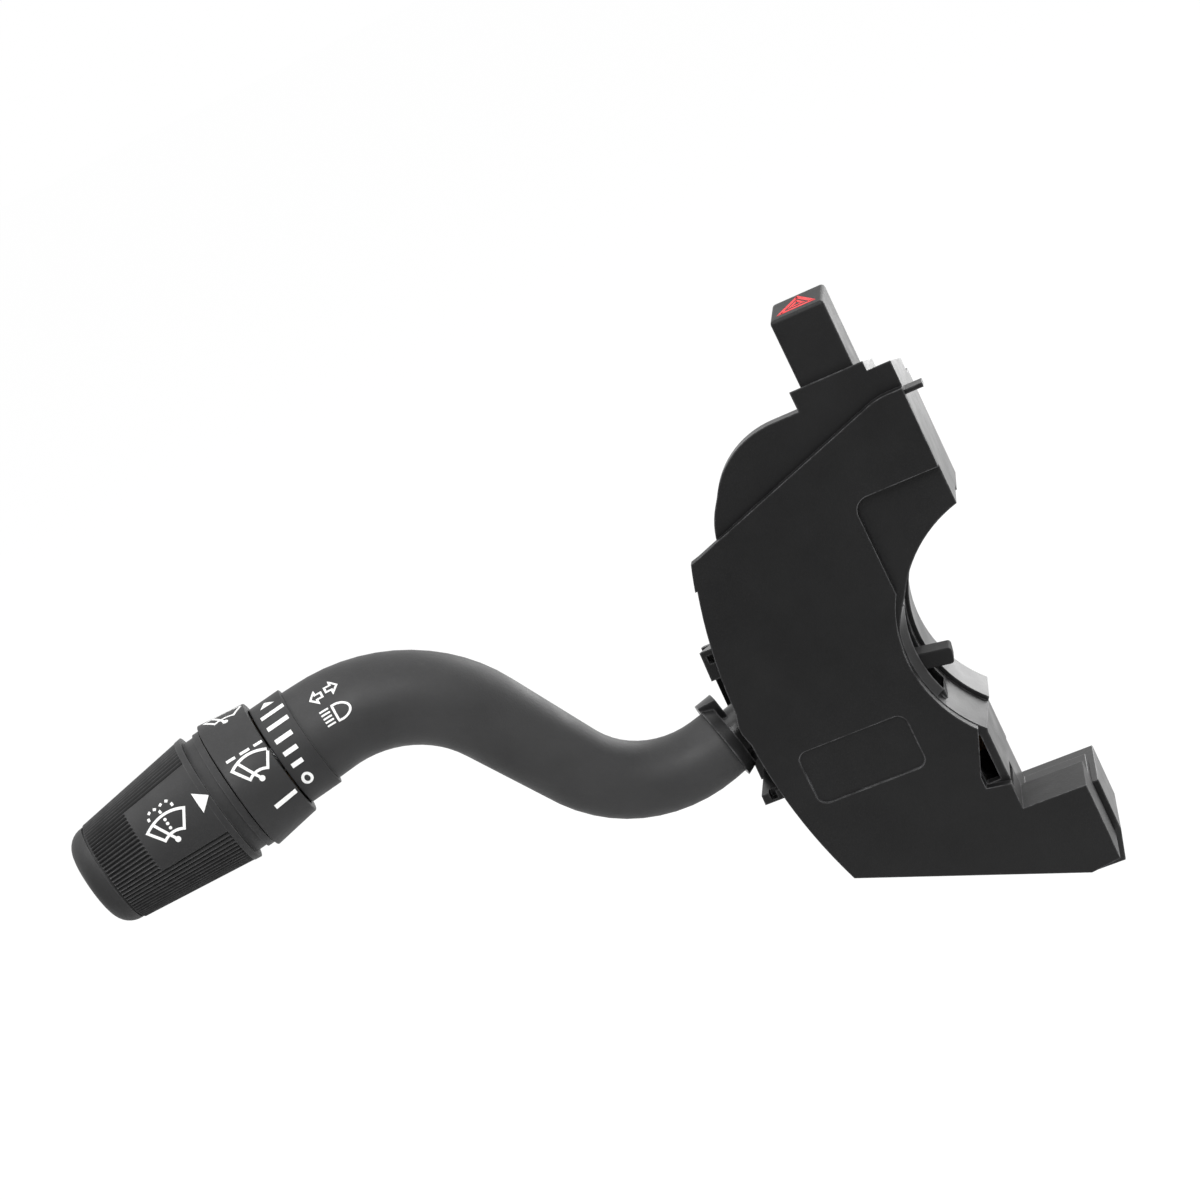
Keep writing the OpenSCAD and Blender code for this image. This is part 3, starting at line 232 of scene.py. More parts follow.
def make_handling():
    """Fine dust on upward faces, and the shine that hands leave."""
    group, given, out = new_group("handling", {"Scale": 130.0}, {"Dust": "Float", "Shine": "Float"})
    place = body_place(group)
    up = group.nodes.new("ShaderNodeSeparateXYZ")
    group.links.new(group.nodes.new("ShaderNodeNewGeometry").outputs["Normal"], up.inputs["Vector"])
    finer = reckon(group, "MULTIPLY", given.outputs["Scale"], SPECK_SCALE)
    specks = spread(group, noise(group, place, finer, detail=4.0, rough=0.7), low=0.5, high=0.75)
    facing_up = spread(group, up.outputs["Z"], low=0.1, high=1.0)
    group.links.new(reckon(group, "MULTIPLY", facing_up, specks), out.inputs["Dust"])
    touched = noise(group, place, given.outputs["Scale"], detail=2.0)
    group.links.new(spread(group, touched, low=0.4, high=0.7), out.inputs["Shine"])
    return group


# The lines' scale along their length against the scale across it, and the stain's scale
LINE_STRETCH = 0.06
STAIN_SCALE = 300.0


def make_drawn_lines():
    """Fine lines left by drawing or plating on metal."""
    group, given, out = new_group(
        "drawn_lines", {"Fineness": 4000.0}, {"Lines": "Float", "Stain": "Float"})
    place = body_place(group)
    stretch = group.nodes.new("ShaderNodeMapping")
    stretch.inputs["Scale"].default_value = (1.0, LINE_STRETCH, 1.0)
    group.links.new(place, stretch.inputs["Vector"])
    stretched = stretch.outputs["Vector"]
    lines = noise(group, stretched, given.outputs["Fineness"], detail=4.0, rough=0.7)
    group.links.new(lines, out.inputs["Lines"])
    stain = noise(group, place, STAIN_SCALE, detail=5.0)
    group.links.new(spread(group, stain, low=0.45, high=0.7), out.inputs["Stain"])
    return group


GRAIN = make_moulded_grain()
EDGE = make_edge_wear_and_highlight()
HANDLED = make_handling()
DRAWN = make_drawn_lines()


def placed(tree, group, **values):
    """A group node in a material, with its own input values."""
    node = tree.nodes.new("ShaderNodeGroup")
    node.node_tree = group
    for label, value in values.items():
        node.inputs[label.replace("_", " ")].default_value = value
    return node.outputs


def new_material(name):
    """A material with its own Principled shader."""
    material = bpy.data.materials.new(name)
    material.use_nodes = True
    return material, material.node_tree, material.node_tree.nodes["Principled BSDF"]


def add_bump(tree, shader, height, depth):
    """Bump of a depth in metres."""
    bump = tree.nodes.new("ShaderNodeBump")
    bump.inputs["Distance"].default_value = depth
    tree.links.new(height, bump.inputs["Height"])
    tree.links.new(bump.outputs["Normal"], shader.inputs["Normal"])


# Dust: its share of the colour, and the tone under it kept and lifted
DUST_SHARE, DUST_KEEP, DUST_LIFT = 0.16, 0.85, 0.05
# Share of the lighter edge tone, part rubbed wear and part painted highlight, at an edge
WEAR_AND_HIGHLIGHT_SHARE = 0.7
# Painted shade in the grooves: its share of the colour, and its tone against the dark one
GROOVE_SHADE_SHARE, GROOVE_SHADE_TONE = 0.85, 0.15
# Roughness added where nobody touches, and taken off where hands do
UNTOUCHED, TOUCHED = 0.04, 0.05


def moulded(name, dark, light, rough, fineness, depth, edge_wear_highlight_gain,
            specular=0.5, edge_width=0.0004, groove_shade=None):
    """Grained moulded plastic: mottle between two tones, rubbed edges with a painted edge
    highlight, painted shade in the grooves where given, dust and handling shine.
    """
    material, tree, shader = new_material(name)
    grain = placed(tree, GRAIN, Fineness=fineness)
    worn_and_highlit_edges = placed(tree, EDGE, Width=edge_width)
    used = placed(tree, HANDLED)
    tone = blend_colour(tree, grain["Mottle"], dark, light)
    dusty = tuple(DUST_KEEP * c + DUST_LIFT for c in light)
    tone = blend_colour(tree, reckon(tree, "MULTIPLY", used["Dust"], DUST_SHARE), tone, dusty)
    # Lighter edges: rubbed wear, plus a painted highlight where edges catch the light
    rubbed_and_highlit = tuple(min(1.0, c * edge_wear_highlight_gain) for c in light)
    tone = blend_colour(tree, reckon(tree, "MULTIPLY", worn_and_highlit_edges["Mask"], WEAR_AND_HIGHLIGHT_SHARE), tone, rubbed_and_highlit)
    # Painted shade: grooves darkened by their depth between the ribs
    if groove_shade:
        share = reckon(tree, "MULTIPLY", groove_shade(tree), GROOVE_SHADE_SHARE)
        tone = blend_colour(tree, share, tone, tuple(GROOVE_SHADE_TONE * c for c in dark))
    tree.links.new(tone, shader.inputs["Base Color"])
    satin = spread(tree, used["Shine"], 0.0, 1.0, rough + UNTOUCHED, rough - TOUCHED)
    tree.links.new(satin, shader.inputs["Roughness"])
    shader.inputs["Specular IOR Level"].default_value = specular
    add_bump(tree, shader, grain["Height"], depth)
    return material


def joint(name):
    """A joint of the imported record."""
    return next(j for j in frame["joints"] if j["name"] == name)


turning = joint("wiper_ring_turn")
KNOB_START = Vector(turning["pos_m"])
OUTWARDS = Vector(turning["axis"]).normalized()
# Ribbed grip of the knob: where it starts and ends, its radius there and the depth of its grooves
GRIP_START, GRIP_END = 23.9, 52.1
GRIP_START_R, GRIP_END_R = 15.8, 12.2
GROOVE = 0.5
# Shares of that depth at which the painted groove shade begins and is full, and its fading in at
# the start
GROOVE_FROM, GROOVE_FULL = 0.2, 0.9
GRIP_FADE = 1.5


def between_ribs(tree):
    """How deep a point lies between the knob's ribs: zero on a crest, one in a groove. The grip's
    painted groove shade follows it.
    """
    def vector(operation, first, second):
        node = tree.nodes.new("ShaderNodeVectorMath")
        node.operation = operation
        tree.links.new(first, node.inputs[0])
        if second is not None:
            node.inputs[1].default_value = second
        return node.outputs
    away = vector("SUBTRACT", body_place(tree), KNOB_START)["Vector"]
    along = vector("DOT_PRODUCT", away, OUTWARDS)["Value"]
    radius = vector("LENGTH", vector("CROSS_PRODUCT", away, OUTWARDS)["Vector"], None)["Value"]
    crest = spread(
        tree, along, GRIP_START * MM, GRIP_END * MM, GRIP_START_R * MM, GRIP_END_R * MM)
    below = reckon(tree, "SUBTRACT", crest, radius)
    depth = spread(tree, below, GROOVE_FROM * GROOVE * MM, GROOVE_FULL * GROOVE * MM)
    on_grip = spread(tree, along, GRIP_START * MM, (GRIP_START + GRIP_FADE) * MM)
    return reckon(tree, "MULTIPLY", depth, on_grip)


# Metal: share and tone of its stain, roughness off and on its lines, and their depth in metres
STAIN_SHARE, STAIN_TONE = 0.3, 0.45
LINE_SMOOTH, LINE_ROUGH = 0.06, 0.1
LINE_DEPTH = 0.00001


def metal(name, dark, light, rough):
    """Drawn or plated metal with a light stain."""
    material, tree, shader = new_material(name)
    lines = placed(tree, DRAWN)
    tone = blend_colour(tree, lines["Lines"], light, dark)
    stain = reckon(tree, "MULTIPLY", lines["Stain"], STAIN_SHARE)
    tone = blend_colour(tree, stain, tone, tuple(STAIN_TONE * c for c in dark))
    tree.links.new(tone, shader.inputs["Base Color"])
    shader.inputs["Metallic"].default_value = 1.0
    finish = spread(tree, lines["Lines"], 0.3, 0.7, rough - LINE_SMOOTH, rough + LINE_ROUGH)
    tree.links.new(finish, shader.inputs["Roughness"])
    add_bump(tree, shader, lines["Lines"], LINE_DEPTH)
    return material


def mottled(name, first, second, fineness, mottle, share, smooth, rough, depth):
    """A surface whose colour and roughness follow one mottle, over a fine grain."""
    material, tree, shader = new_material(name)
    grain = placed(tree, GRAIN, Fineness=fineness, Mottle_Scale=mottle)
    amount = reckon(tree, "MULTIPLY", grain["Mottle"], share)
    tree.links.new(blend_colour(tree, amount, first, second), shader.inputs["Base Color"])
    finish = spread(tree, grain["Mottle"], 0.0, 1.0, smooth, rough)
    tree.links.new(finish, shader.inputs["Roughness"])
    add_bump(tree, shader, grain["Height"], depth)
    return material


def ink(name, full, thin):
    """Pad-printed ink: solid, with slightly thinner places."""
    return mottled(name, full, thin, fineness=5200.0, mottle=900.0, share=0.5,
                   smooth=0.45, rough=0.6, depth=0.000006)


def laminate(name, dark, light):
    """Resin-bonded board with a blotched surface."""
    return mottled(name, dark, light, fineness=1800.0, mottle=240.0, share=1.0,
                   smooth=0.35, rough=0.5, depth=0.00001)


# Each plastic's edge tone is part rubbed wear and part painted edge highlight
COVER = moulded(
    "cover_black", dark=(0.008, 0.008, 0.0083), light=(0.0105, 0.0105, 0.0108), rough=0.45,
    fineness=2600.0, depth=0.000018, edge_wear_highlight_gain=14.0, specular=0.4, edge_width=0.0005)
HOUSING_TONES = {"dark": (0.0085, 0.0085, 0.0088), "light": (0.011, 0.011, 0.0113)}
HOUSING = moulded(
    "housing_black", **HOUSING_TONES, rough=0.33,
    fineness=2600.0, depth=0.000016, edge_wear_highlight_gain=12.0, edge_width=0.0007)
# The web is of the housing's plastic, but its sides aren't edges, so it gets no rubbed edge and no
# painted edge highlight
WEB = moulded(
    "web_black", **HOUSING_TONES, rough=0.33,
    fineness=2600.0, depth=0.000016, edge_wear_highlight_gain=1.0, edge_width=0.0001)
STALK = moulded(
    "stalk_charcoal", dark=(0.034, 0.034, 0.0345), light=(0.042, 0.042, 0.0425), rough=0.5,
    fineness=3400.0, depth=0.00003, edge_wear_highlight_gain=1.8, specular=0.25)
KNOB_TONES = {"dark": (0.025, 0.025, 0.0255), "light": (0.031, 0.031, 0.0315)}
KNOB = moulded(
    "knob_charcoal", **KNOB_TONES, rough=0.54,
    fineness=3400.0, depth=0.000025, edge_wear_highlight_gain=2.6, specular=0.33)
# The grip's grooves carry painted shade, and its crests a painted highlight
GRIP = moulded(
    "grip_charcoal", **KNOB_TONES, rough=0.55,
    fineness=3400.0, depth=0.000025, edge_wear_highlight_gain=3.6, specular=0.33, edge_width=0.0003,
    groove_shade=between_ribs)
BUTTON = moulded(
    "button_black", dark=(0.011, 0.011, 0.0113), light=(0.014, 0.014, 0.0143), rough=0.5,
    fineness=3000.0, depth=0.00001, edge_wear_highlight_gain=9.0, specular=0.28)
PAWL = moulded(
    "pawl_black", dark=(0.0125, 0.0125, 0.0127), light=(0.015, 0.015, 0.0152), rough=0.6,
    fineness=2600.0, depth=0.00002, edge_wear_highlight_gain=6.0, specular=0.15)
NATURAL = moulded(
    "natural_plastic", dark=(0.66, 0.63, 0.55), light=(0.74, 0.71, 0.64), rough=0.42,
    fineness=2200.0, depth=0.00001, edge_wear_highlight_gain=1.1)
LOOM = moulded(
    "loom_tape", dark=(0.008, 0.008, 0.0085), light=(0.014, 0.014, 0.0145), rough=0.6,
    fineness=1500.0, depth=0.00003, edge_wear_highlight_gain=2.0)
STEEL = metal("plated_steel", dark=(0.5, 0.5, 0.51), light=(0.66, 0.67, 0.69), rough=0.3)
BRASS = metal("bare_brass", dark=(0.62, 0.42, 0.17), light=(0.75, 0.56, 0.27), rough=0.32)
BRONZE = metal("spring_bronze", dark=(0.07, 0.045, 0.025), light=(0.12, 0.08, 0.045), rough=0.42)
BOARD = laminate("phenolic_board", dark=(0.2, 0.1, 0.035), light=(0.3, 0.16, 0.06))
# Near-black so that the disc, seen through the gap between ring and collar, reads as shade: painted
# shade
DISC = laminate("contact_disc", dark=(0.006, 0.005, 0.004), light=(0.012, 0.01, 0.008))
WHITE_INK = ink("white_ink", full=(0.85, 0.85, 0.84), thin=(0.7, 0.7, 0.69))
RED_INK = ink("red_ink", full=(0.8, 0.03, 0.035), thin=(0.62, 0.02, 0.03))

# CAD nodes, with their edges rounded as the mould's are

# Distance in metres within which points are one, the bend that still counts as flat,
# and the bend from which an edge is sharp
WELD = 0.000004
FLAT = math.radians(0.7)
SHARP = math.radians(32)
# Facets of a rounded edge
ROUNDING_STEPS = 3


def new_piece(name, mesh, material):
    """An object of a mesh in one material, put into the scene."""
    mesh.materials.append(material)
    piece = bpy.data.objects.new(name, mesh)
    bpy.context.scene.collection.objects.link(piece)
    return piece


def clean_mesh(node):
    """A CAD node's mesh with its seams joined and its flat faces made whole."""
    joined = bmesh.new()
    joined.from_mesh(frame["nodes"][node].data)
    bmesh.ops.remove_doubles(joined, verts=joined.verts, dist=WELD)
    bmesh.ops.dissolve_limit(joined, angle_limit=FLAT, verts=joined.verts, edges=joined.edges)
    joined.verts.index_update()
    points = [v.co.copy() for v in joined.verts]
    faces = [[v.index for v in f.verts] for f in joined.faces]
    joined.free()
    mesh = bpy.data.meshes.new(f"{node}_finished")
    mesh.from_pydata(points, [], faces)
    return mesh


def smooth(mesh):
    """Smooth shading that keeps the sharp corners."""
    mesh.polygons.foreach_set("use_smooth", [True] * len(mesh.polygons))
    mesh.set_sharp_from_angle(angle=SHARP)


def dressed(node, material, slot, rounding):
    """The piece that stands for a CAD node: the same shape, its edges rounded by so many mm."""
    mesh = clean_mesh(node)
    smooth(mesh)
    piece = new_piece(f"{node}_finished", mesh, material)
    if rounding:
        edges = piece.modifiers.new("rounded edges", "BEVEL")
        edges.width = rounding * MM
        edges.segments = ROUNDING_STEPS
        edges.limit_method = "ANGLE"
        edges.angle_limit = SHARP
        edges.harden_normals = True
    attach(piece, frame["nodes"][node]["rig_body"])
    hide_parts(node)
    return piece


# Each node's material, slot and rounding
DRESSED = {
    "front_cover": (COVER, "cover_plastic", 0.3),
    "switch_housing": (HOUSING, "housing_plastic", 0.45),
    "rear_base": (HOUSING, "housing_plastic", 0.45),
    "connector_shroud": (HOUSING, "housing_plastic", 0.2),
    "lever_bezel": (HOUSING, "housing_plastic", 0.25),
    "hazard_button": (BUTTON, "button_plastic", 0.9),
    "cancel_pawl": (PAWL, "housing_plastic", 0.4),
    "stalk_root": (HOUSING, "housing_plastic", 0.3),
    "stalk_tube": (STALK, "stalk_plastic", 0),
    "scale_collar": (KNOB, "knob_plastic", 0.25),
    "wiper_ring": (KNOB, "knob_plastic", 0.3),
    "washer_knob": (GRIP, "knob_plastic", 0.15),
    "knob_cap": (KNOB, "knob_plastic", 0),
    "turn_carrier": (NATURAL, "natural_plastic", 0.2),
    "contact_slider": (NATURAL, "natural_plastic", 0.15),
}
finished = {
    node: dressed(node, material, slot, rounding)
    for node, (material, slot, rounding) in DRESSED.items()
}

# Saddle of the housing: its radius, how far a point may lie off it, the growth of the flare,
# the depth behind which nothing flares, and the heights where the flare starts and is full
SADDLE_R = 31.0
SADDLE_OFF = 0.06
FLARE = 1.8
FLARE_FRONT = -20.0
FLARE_FROM, FLARE_TO = 14.0, 6.0


def flare_saddle():
    """Opens the lower front edge of the housing's saddle out to the cover's edge."""
    for point in finished["switch_housing"].data.vertices:
        radius = math.hypot(point.co.x, point.co.z)
        if abs(radius - SADDLE_R * MM) < SADDLE_OFF * MM and point.co.y < FLARE_FRONT * MM:
            share = (FLARE_FROM * MM - point.co.z) / ((FLARE_FROM - FLARE_TO) * MM)
            growth = 1 + min(1.0, max(0.0, share)) * FLARE / SADDLE_R
            point.co.x *= growth
            point.co.z *= growth


flare_saddle()

# Web beside the button's tower: its sides, its top and foot, how far it stands proud of the
# housing's front, and the slope of its top
WEB_LEFT, WEB_RIGHT = -14.5, -12.2
WEB_TOP, WEB_FOOT = 65.25, 61.4
WEB_PROUD = 0.03
WEB_SLOPE = math.tan(math.radians(17))


def make_lug_web():
    """Web between the button's tower and the lug beside it, sloped as their tops are."""
    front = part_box("switch_housing")[0].y - WEB_PROUD * MM
    back = front + (WEB_TOP - WEB_FOOT) / WEB_SLOPE * MM
    profile = ((front, WEB_FOOT * MM), (front, WEB_TOP * MM), (back, WEB_FOOT * MM))
    points = [(x * MM, y, z) for x in (WEB_LEFT, WEB_RIGHT) for y, z in profile]
    faces = [(0, 2, 1), (3, 4, 5), (0, 1, 4, 3), (1, 2, 5, 4), (2, 0, 3, 5)]
    mesh = bpy.data.meshes.new("lug_web")
    mesh.from_pydata(points, [], faces)
    piece = new_piece("lug_web", mesh, WEB)
    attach(piece, "housing")


make_lug_web()

# Inner nodes that keep their CAD shape
PLAIN = {
    STEEL: ["case_screws", "turn_pivot_pin", "detent_plunger", "detent_spring", "flash_pivot_pin",
            "flash_spring", "knob_spindle", "spindle_clip", "washer_spring", "hazard_spring",
            "pawl_pin", "pawl_spring"],
    BRASS: ["fixed_contacts", "turn_terminals", "wiper_terminals", "mounting_inserts",
            "hazard_contact"],
    BRONZE: ["slider_contacts", "rotor_wipers"],
    BOARD: ["contact_board"],
    DISC: ["wiper_contact_disc"],
    NATURAL: ["slider_rails", "detent_track"],
    LOOM: ["stalk_loom"],
}
for material, nodes in PLAIN.items():
    for node in nodes:
        slots = frame["nodes"][node].data.materials
        slots.clear()
        slots.append(material)

# Prints

# A print's height over its surface, the depth of its foot, and the step between overlapping
# shapes, which start again after so many
INK = 0.03
BEDDED = 0.05
LAYER, LAYERS = 0.004, 5
# Longest step along a printed line, and the sharpest mitre's share of a full corner
STEP = 0.35
MITRE = 0.4
# Distance in metres within which a print's points are one
PRINT_WELD = 0.000001
# How far out in metres a line towards a piece starts, and how much longer it is than that
REACH = 0.03
BEYOND = 1.5

TO_DRIVER = Vector((0, 0, 1)).cross(OUTWARDS).normalized()
DOWN = TO_DRIVER.cross(OUTWARDS)


def skin(piece):
    """A tree of a piece's faces, on which a print is laid."""
    shape = piece.evaluated_get(bpy.context.evaluated_depsgraph_get())
    return BVHTree.FromPolygons(
        [piece.matrix_world @ v.co for v in shape.data.vertices],
        [list(p.vertices) for p in shape.data.polygons])


def laid_from(centre, outward, faces):
    """Where a line from outside to a centre meets the faces, and the way out there."""
    spot, normal, *_ = faces.ray_cast(centre + outward * REACH, -outward, BEYOND * REACH)
    if normal is None:
        return spot, outward
    return spot, normal if normal.dot(outward) > 0 else -normal


def on_knob(faces, middle, angle, radius):
    """Lays a print round the knob's axis: right is towards the housing, up is round the top."""
    def spot(right, up):
        turn = math.radians(angle) + up / radius
        outward = DOWN * math.cos(turn) + TO_DRIVER * math.sin(turn)
        return laid_from(KNOB_START + OUTWARDS * (middle - right) * MM, outward, faces)
    return spot


# Straight end of the stalk, and the radius of the bend before it
KNOB_RUN = 3.8
UPPER_BEND = 34.0


def on_stalk(faces, middle, angle, radius):
    """Lays a print on the stalk's end: middle is its distance from the knob's start."""
    rise = -DOWN

    def spot(right, up):
        back = middle + right
        bend = max(0.0, back - KNOB_RUN) / UPPER_BEND
        run = min(back, KNOB_RUN)
        inwards = OUTWARDS * (run + UPPER_BEND * math.sin(bend))
        centre = KNOB_START - (inwards + rise * UPPER_BEND * (1 - math.cos(bend))) * MM
        across = rise * math.cos(bend) - OUTWARDS * math.sin(bend)
        turn = math.radians(angle) + up / radius
        return laid_from(centre, TO_DRIVER * math.cos(turn) + across * math.sin(turn), faces)
    return spot


def on_top(faces, centre):
    """Lays a print on a level face: right is +X, up is +Y."""
    def spot(right, up):
        return laid_from(centre + Vector((right, up, 0)) * MM, Vector((0, 0, 1)), faces)
    return spot


def stroke(points, width, closed=False):
    """Two rows of points, each half a width from a line, with mitred corners."""
    fine = []
    ends = points[1:] + points[:1] if closed else points[1:]
    for a, b in zip(points, ends):
        count = max(1, math.ceil(math.dist(a, b) / STEP))
        fine += [tuple(p + (q - p) * k / count for p, q in zip(a, b)) for k in range(count)]
    fine.append(fine[0] if closed else points[-1])
    rows = []
    last = len(fine) - 1
    for k, here in enumerate(fine):
        before = fine[k - 1] if k else (fine[-2] if closed else None)
        after = fine[k + 1] if k < last else (fine[1] if closed else None)
        pairs = ((before, here), (here, after))
        sides = [(Vector(q) - Vector(p)).normalized() for p, q in pairs if p and q]
        along = sum(sides, Vector((0, 0))).normalized()
        half = width / 2 / max(MITRE, along.dot(sides[0]))
        across = Vector((-along.y, along.x)) * half
        rows.append([Vector(here) - across, Vector(here) + across])
    return rows


def patch(corners, count):
    """A four-sided patch of points between corners a, b, c, d in order."""
    a, b, c, d = (Vector(p) for p in corners)
    rows = []
    for i in range(count + 1):
        left, right = a.lerp(d, i / count), b.lerp(c, i / count)
        rows.append([left.lerp(right, j / count) for j in range(count + 1)])
    return rows


def dot(centre, radius, count=16):
    """A round dot: rows of two points, its centre and one on its rim."""
    middle = Vector(centre)
    ring = [2 * math.pi * k / count for k in range(count + 1)]
    return [[middle, middle + Vector((math.cos(t), math.sin(t))) * radius] for t in ring]


def bow(left, right, rise, count=14):
    """Points of a shallow arc from left to right whose middle is raised."""
    (x0, y0), (x1, y1) = left, right
    shares = [k / count for k in range(count + 1)]
    return [(x0 + (x1 - x0) * t, y0 + (y1 - y0) * t + rise * 4 * t * (1 - t)) for t in shares]


def oval(centre, size, first, last, count):
    """Points of part of an oval, from one angle to another."""
    turns = [math.radians(first + (last - first) * k / count) for k in range(count + 1)]
    return [(centre[0] + size[0] * math.cos(t), centre[1] + size[1] * math.sin(t)) for t in turns]


def printed(name, shapes, spot, material, body):
    """A thin print whose shapes lie on a surface. Each shape is rows of flat points."""
    ground = bmesh.new()
    for number, rows in enumerate(shapes):
        lift = (INK + LAYER * (number % LAYERS)) * MM
        tops, feet = [], []
        for row in rows:
            found = [spot(p[0], p[1]) for p in row]
            if any(place is None for place, _ in found):
                tops.append(None)
                feet.append(None)
                continue
            tops.append([ground.verts.new(place + out * lift) for place, out in found])
            feet.append([ground.verts.new(place - out * BEDDED * MM) for place, out in found])
        for i in range(len(rows) - 1):
            if tops[i] is None or tops[i + 1] is None:
                continue
            for j in range(len(rows[i]) - 1):
                ground.faces.new((tops[i][j], tops[i][j + 1], tops[i + 1][j + 1], tops[i + 1][j]))
            for j in (0, len(rows[i]) - 1):
                ground.faces.new((tops[i][j], tops[i + 1][j], feet[i + 1][j], feet[i][j]))
    bmesh.ops.remove_doubles(ground, verts=ground.verts, dist=PRINT_WELD)
    bmesh.ops.recalc_face_normals(ground, faces=ground.faces)
    mesh = bpy.data.meshes.new(name)
    ground.to_mesh(mesh)
    ground.free()
    piece = new_piece(name, mesh, material)
    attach(piece, body)


# Width of a printed line
LINE = 0.62
# Windscreen: rise of its sill, drop of the wiper's pivot under it, the pivot's radius, and the
# blade's tip as shares of the width and of the rise
SILL_RISE = 0.7
PIVOT_DROP, PIVOT_R = 1.2, 0.66
TIP_ACROSS, TIP_UP = 0.29, 0.55


def windscreen(width=9.0, foot=4.5, crown=-0.25, rise=1.35, sill=-3.8):
    """Outline of a windscreen with its wiper, wide edge up."""
    top = bow((-width / 2, crown), (width / 2, crown), rise)
    low = bow((foot / 2, sill), (-foot / 2, sill), SILL_RISE)
    pivot = (0.0, sill - PIVOT_DROP)
    tip = (-width * TIP_ACROSS, crown + rise * TIP_UP)
    return [
        stroke(top + low, LINE, closed=True),
        stroke([tip, pivot], LINE),
        dot(pivot, PIVOT_R)]


def bar(left, right, middle, height, count):
    """A level bar between two ends, as a patch."""
    low, high = middle - height / 2, middle + height / 2
    return patch([(left, low), (right, low), (right, high), (left, high)], count)


collar_skin = skin(finished["scale_collar"])
ring_skin = skin(finished["wiper_ring"])
knob_skin = skin(finished["washer_knob"])
stalk_skin = skin(finished["stalk_tube"])
button_skin = skin(finished["hazard_button"])

# Wiper speed scale on the collar: five bars that shorten, a nought and a wedge.
# A bar is its angle round the collar and the place of its near end
COLLAR_R = 12.4
BARS = [(153.3, 0.45), (137.5, 0.9), (121.4, 2.0), (106.5, 2.8), (92.2, 3.5)]
BAR_END, BAR_WIDTH = 6.3, 1.1
# The nought's place, angle, half sizes and line
NOUGHT_PLACE, NOUGHT_ANGLE = -5.1, 71.7
NOUGHT_SIZE, NOUGHT_LINE = (0.98, 1.3), 0.68
WEDGE = [(-5.44, 167.5), (-3.99, 177.1), (-1.87, 166.3), (-2.2, 166.4)]
arc = COLLAR_R * math.pi / 180
bars = [bar(-BAR_END, -near, angle * arc, BAR_WIDTH, 6) for angle, near in BARS]
nought_middle = (NOUGHT_PLACE, NOUGHT_ANGLE * arc)
nought = stroke(oval(nought_middle, NOUGHT_SIZE, 0, 342, 19), NOUGHT_LINE, closed=True)
wedge = patch([(x, angle * arc) for x, angle in WEDGE], 6)
printed("scale_print", [*bars, nought, wedge],
        on_knob(collar_skin, 0, 0, COLLAR_R), WHITE_INK, "stalk")

# Wiper pictograms and the index bar on the ring, each at its place and angle
RING_R = 15.0
DASHES = [(-4.5, -2.3), (-1.15, 1.2), (2.3, 4.35)]
DASH_HEIGHT = 2.05
INDEX_HALF, INDEX_WIDTH = 2.85, 1.24
dashes = [stroke([(a, DASH_HEIGHT), (b, DASH_HEIGHT)], LINE) for a, b in DASHES]
index = bar(-INDEX_HALF, INDEX_HALF, 0.0, INDEX_WIDTH, 4)
RING_PRINTS = {
    "interval_print": ([*windscreen(), *dashes], 12.75, 120),
    "wiper_print": (windscreen(), 13.0, 187),
    "index_print": ([index], 11.35, 73.2),
}
for name, (shapes, place, angle) in RING_PRINTS.items():
    printed(name, shapes,
            on_knob(ring_skin, place, angle, RING_R), WHITE_INK, "wiper_ring_body")

# Washer pictogram and its arrow on the knob: two fountains of three or four arcs, and drops
KNOB_R = 14.4
JETS = [(-1.5, (158, 103, 48, -4)), (1.55, (103, 44, -10))]
JET_HEIGHT, JET_SIZE, JET_TURN, JET_LINE = 2.0, (1.55, 1.75), 26, 0.6
DROPS, DROP_X, DROP_R = (0.25, -0.8, -1.9), 0.05, 0.38
ARROW = [(7.8, 1.4), (7.8, -3.3), (10.8, -1.0), (10.8, -0.9)]
jets = [
    stroke(oval((x, JET_HEIGHT), JET_SIZE, turn, turn + JET_TURN, 3), JET_LINE)
    for x, turns in JETS for turn in turns]
drops = [dot((DROP_X, y), DROP_R, 10) for y in DROPS]
washer = windscreen(width=9.7, foot=4.9, crown=-0.05, rise=1.4, sill=-3.65)
printed("washer_print", [*washer, *jets, *drops, patch(ARROW, 8)],
        on_knob(knob_skin, 35.0, 118, KNOB_R), WHITE_INK, "washer_knob_body")

# Turn arrows and main beam pictogram on the stalk
STALK_R = 11.0
FINE_LINE, LENS_LINE = 0.4, 0.48
BEAM_FROM, BEAM_TO = -2.65, -0.8
BEAM_HEIGHTS = (1.7, 0.85, 0.0, -0.85, -1.7)
# Block arrow: its head's length and half width, its shaft's half width and its whole length
HEAD, HEAD_HALF = 1.1, 1.5
SHAFT_HALF, ARROW_LONG = 0.62, 2.2


def block_arrow(tip, way):
    """Outline of a short block arrow lying along the stalk."""
    neck, tail = tip - way * HEAD, tip - way * ARROW_LONG
    return [(tip, 0), (neck, HEAD_HALF), (neck, SHAFT_HALF), (tail, SHAFT_HALF),
            (tail, -SHAFT_HALF), (neck, -SHAFT_HALF), (neck, -HEAD_HALF)]


beam = [stroke([(BEAM_FROM, y), (BEAM_TO, y)], FINE_LINE) for y in BEAM_HEIGHTS]
bulge = oval((0.35, 0), (2.7, 1.85), 80, -80, 16)
flat_side = bow((-0.05, -1.6), (-0.05, 1.6), 0, 4)
lens = stroke([(0.0, 1.8), *bulge, (0.0, -1.8), *flat_side], LENS_LINE, closed=True)
STALK_PRINTS = {
    "beam_print": ([*beam, lens], 23.2),
    "turn_print": ([stroke(block_arrow(2.45, 1), FINE_LINE, closed=True)], 53.9),
    "turn_print_far": ([stroke(block_arrow(-2.85, -1), FINE_LINE, closed=True)], 51.0),
}
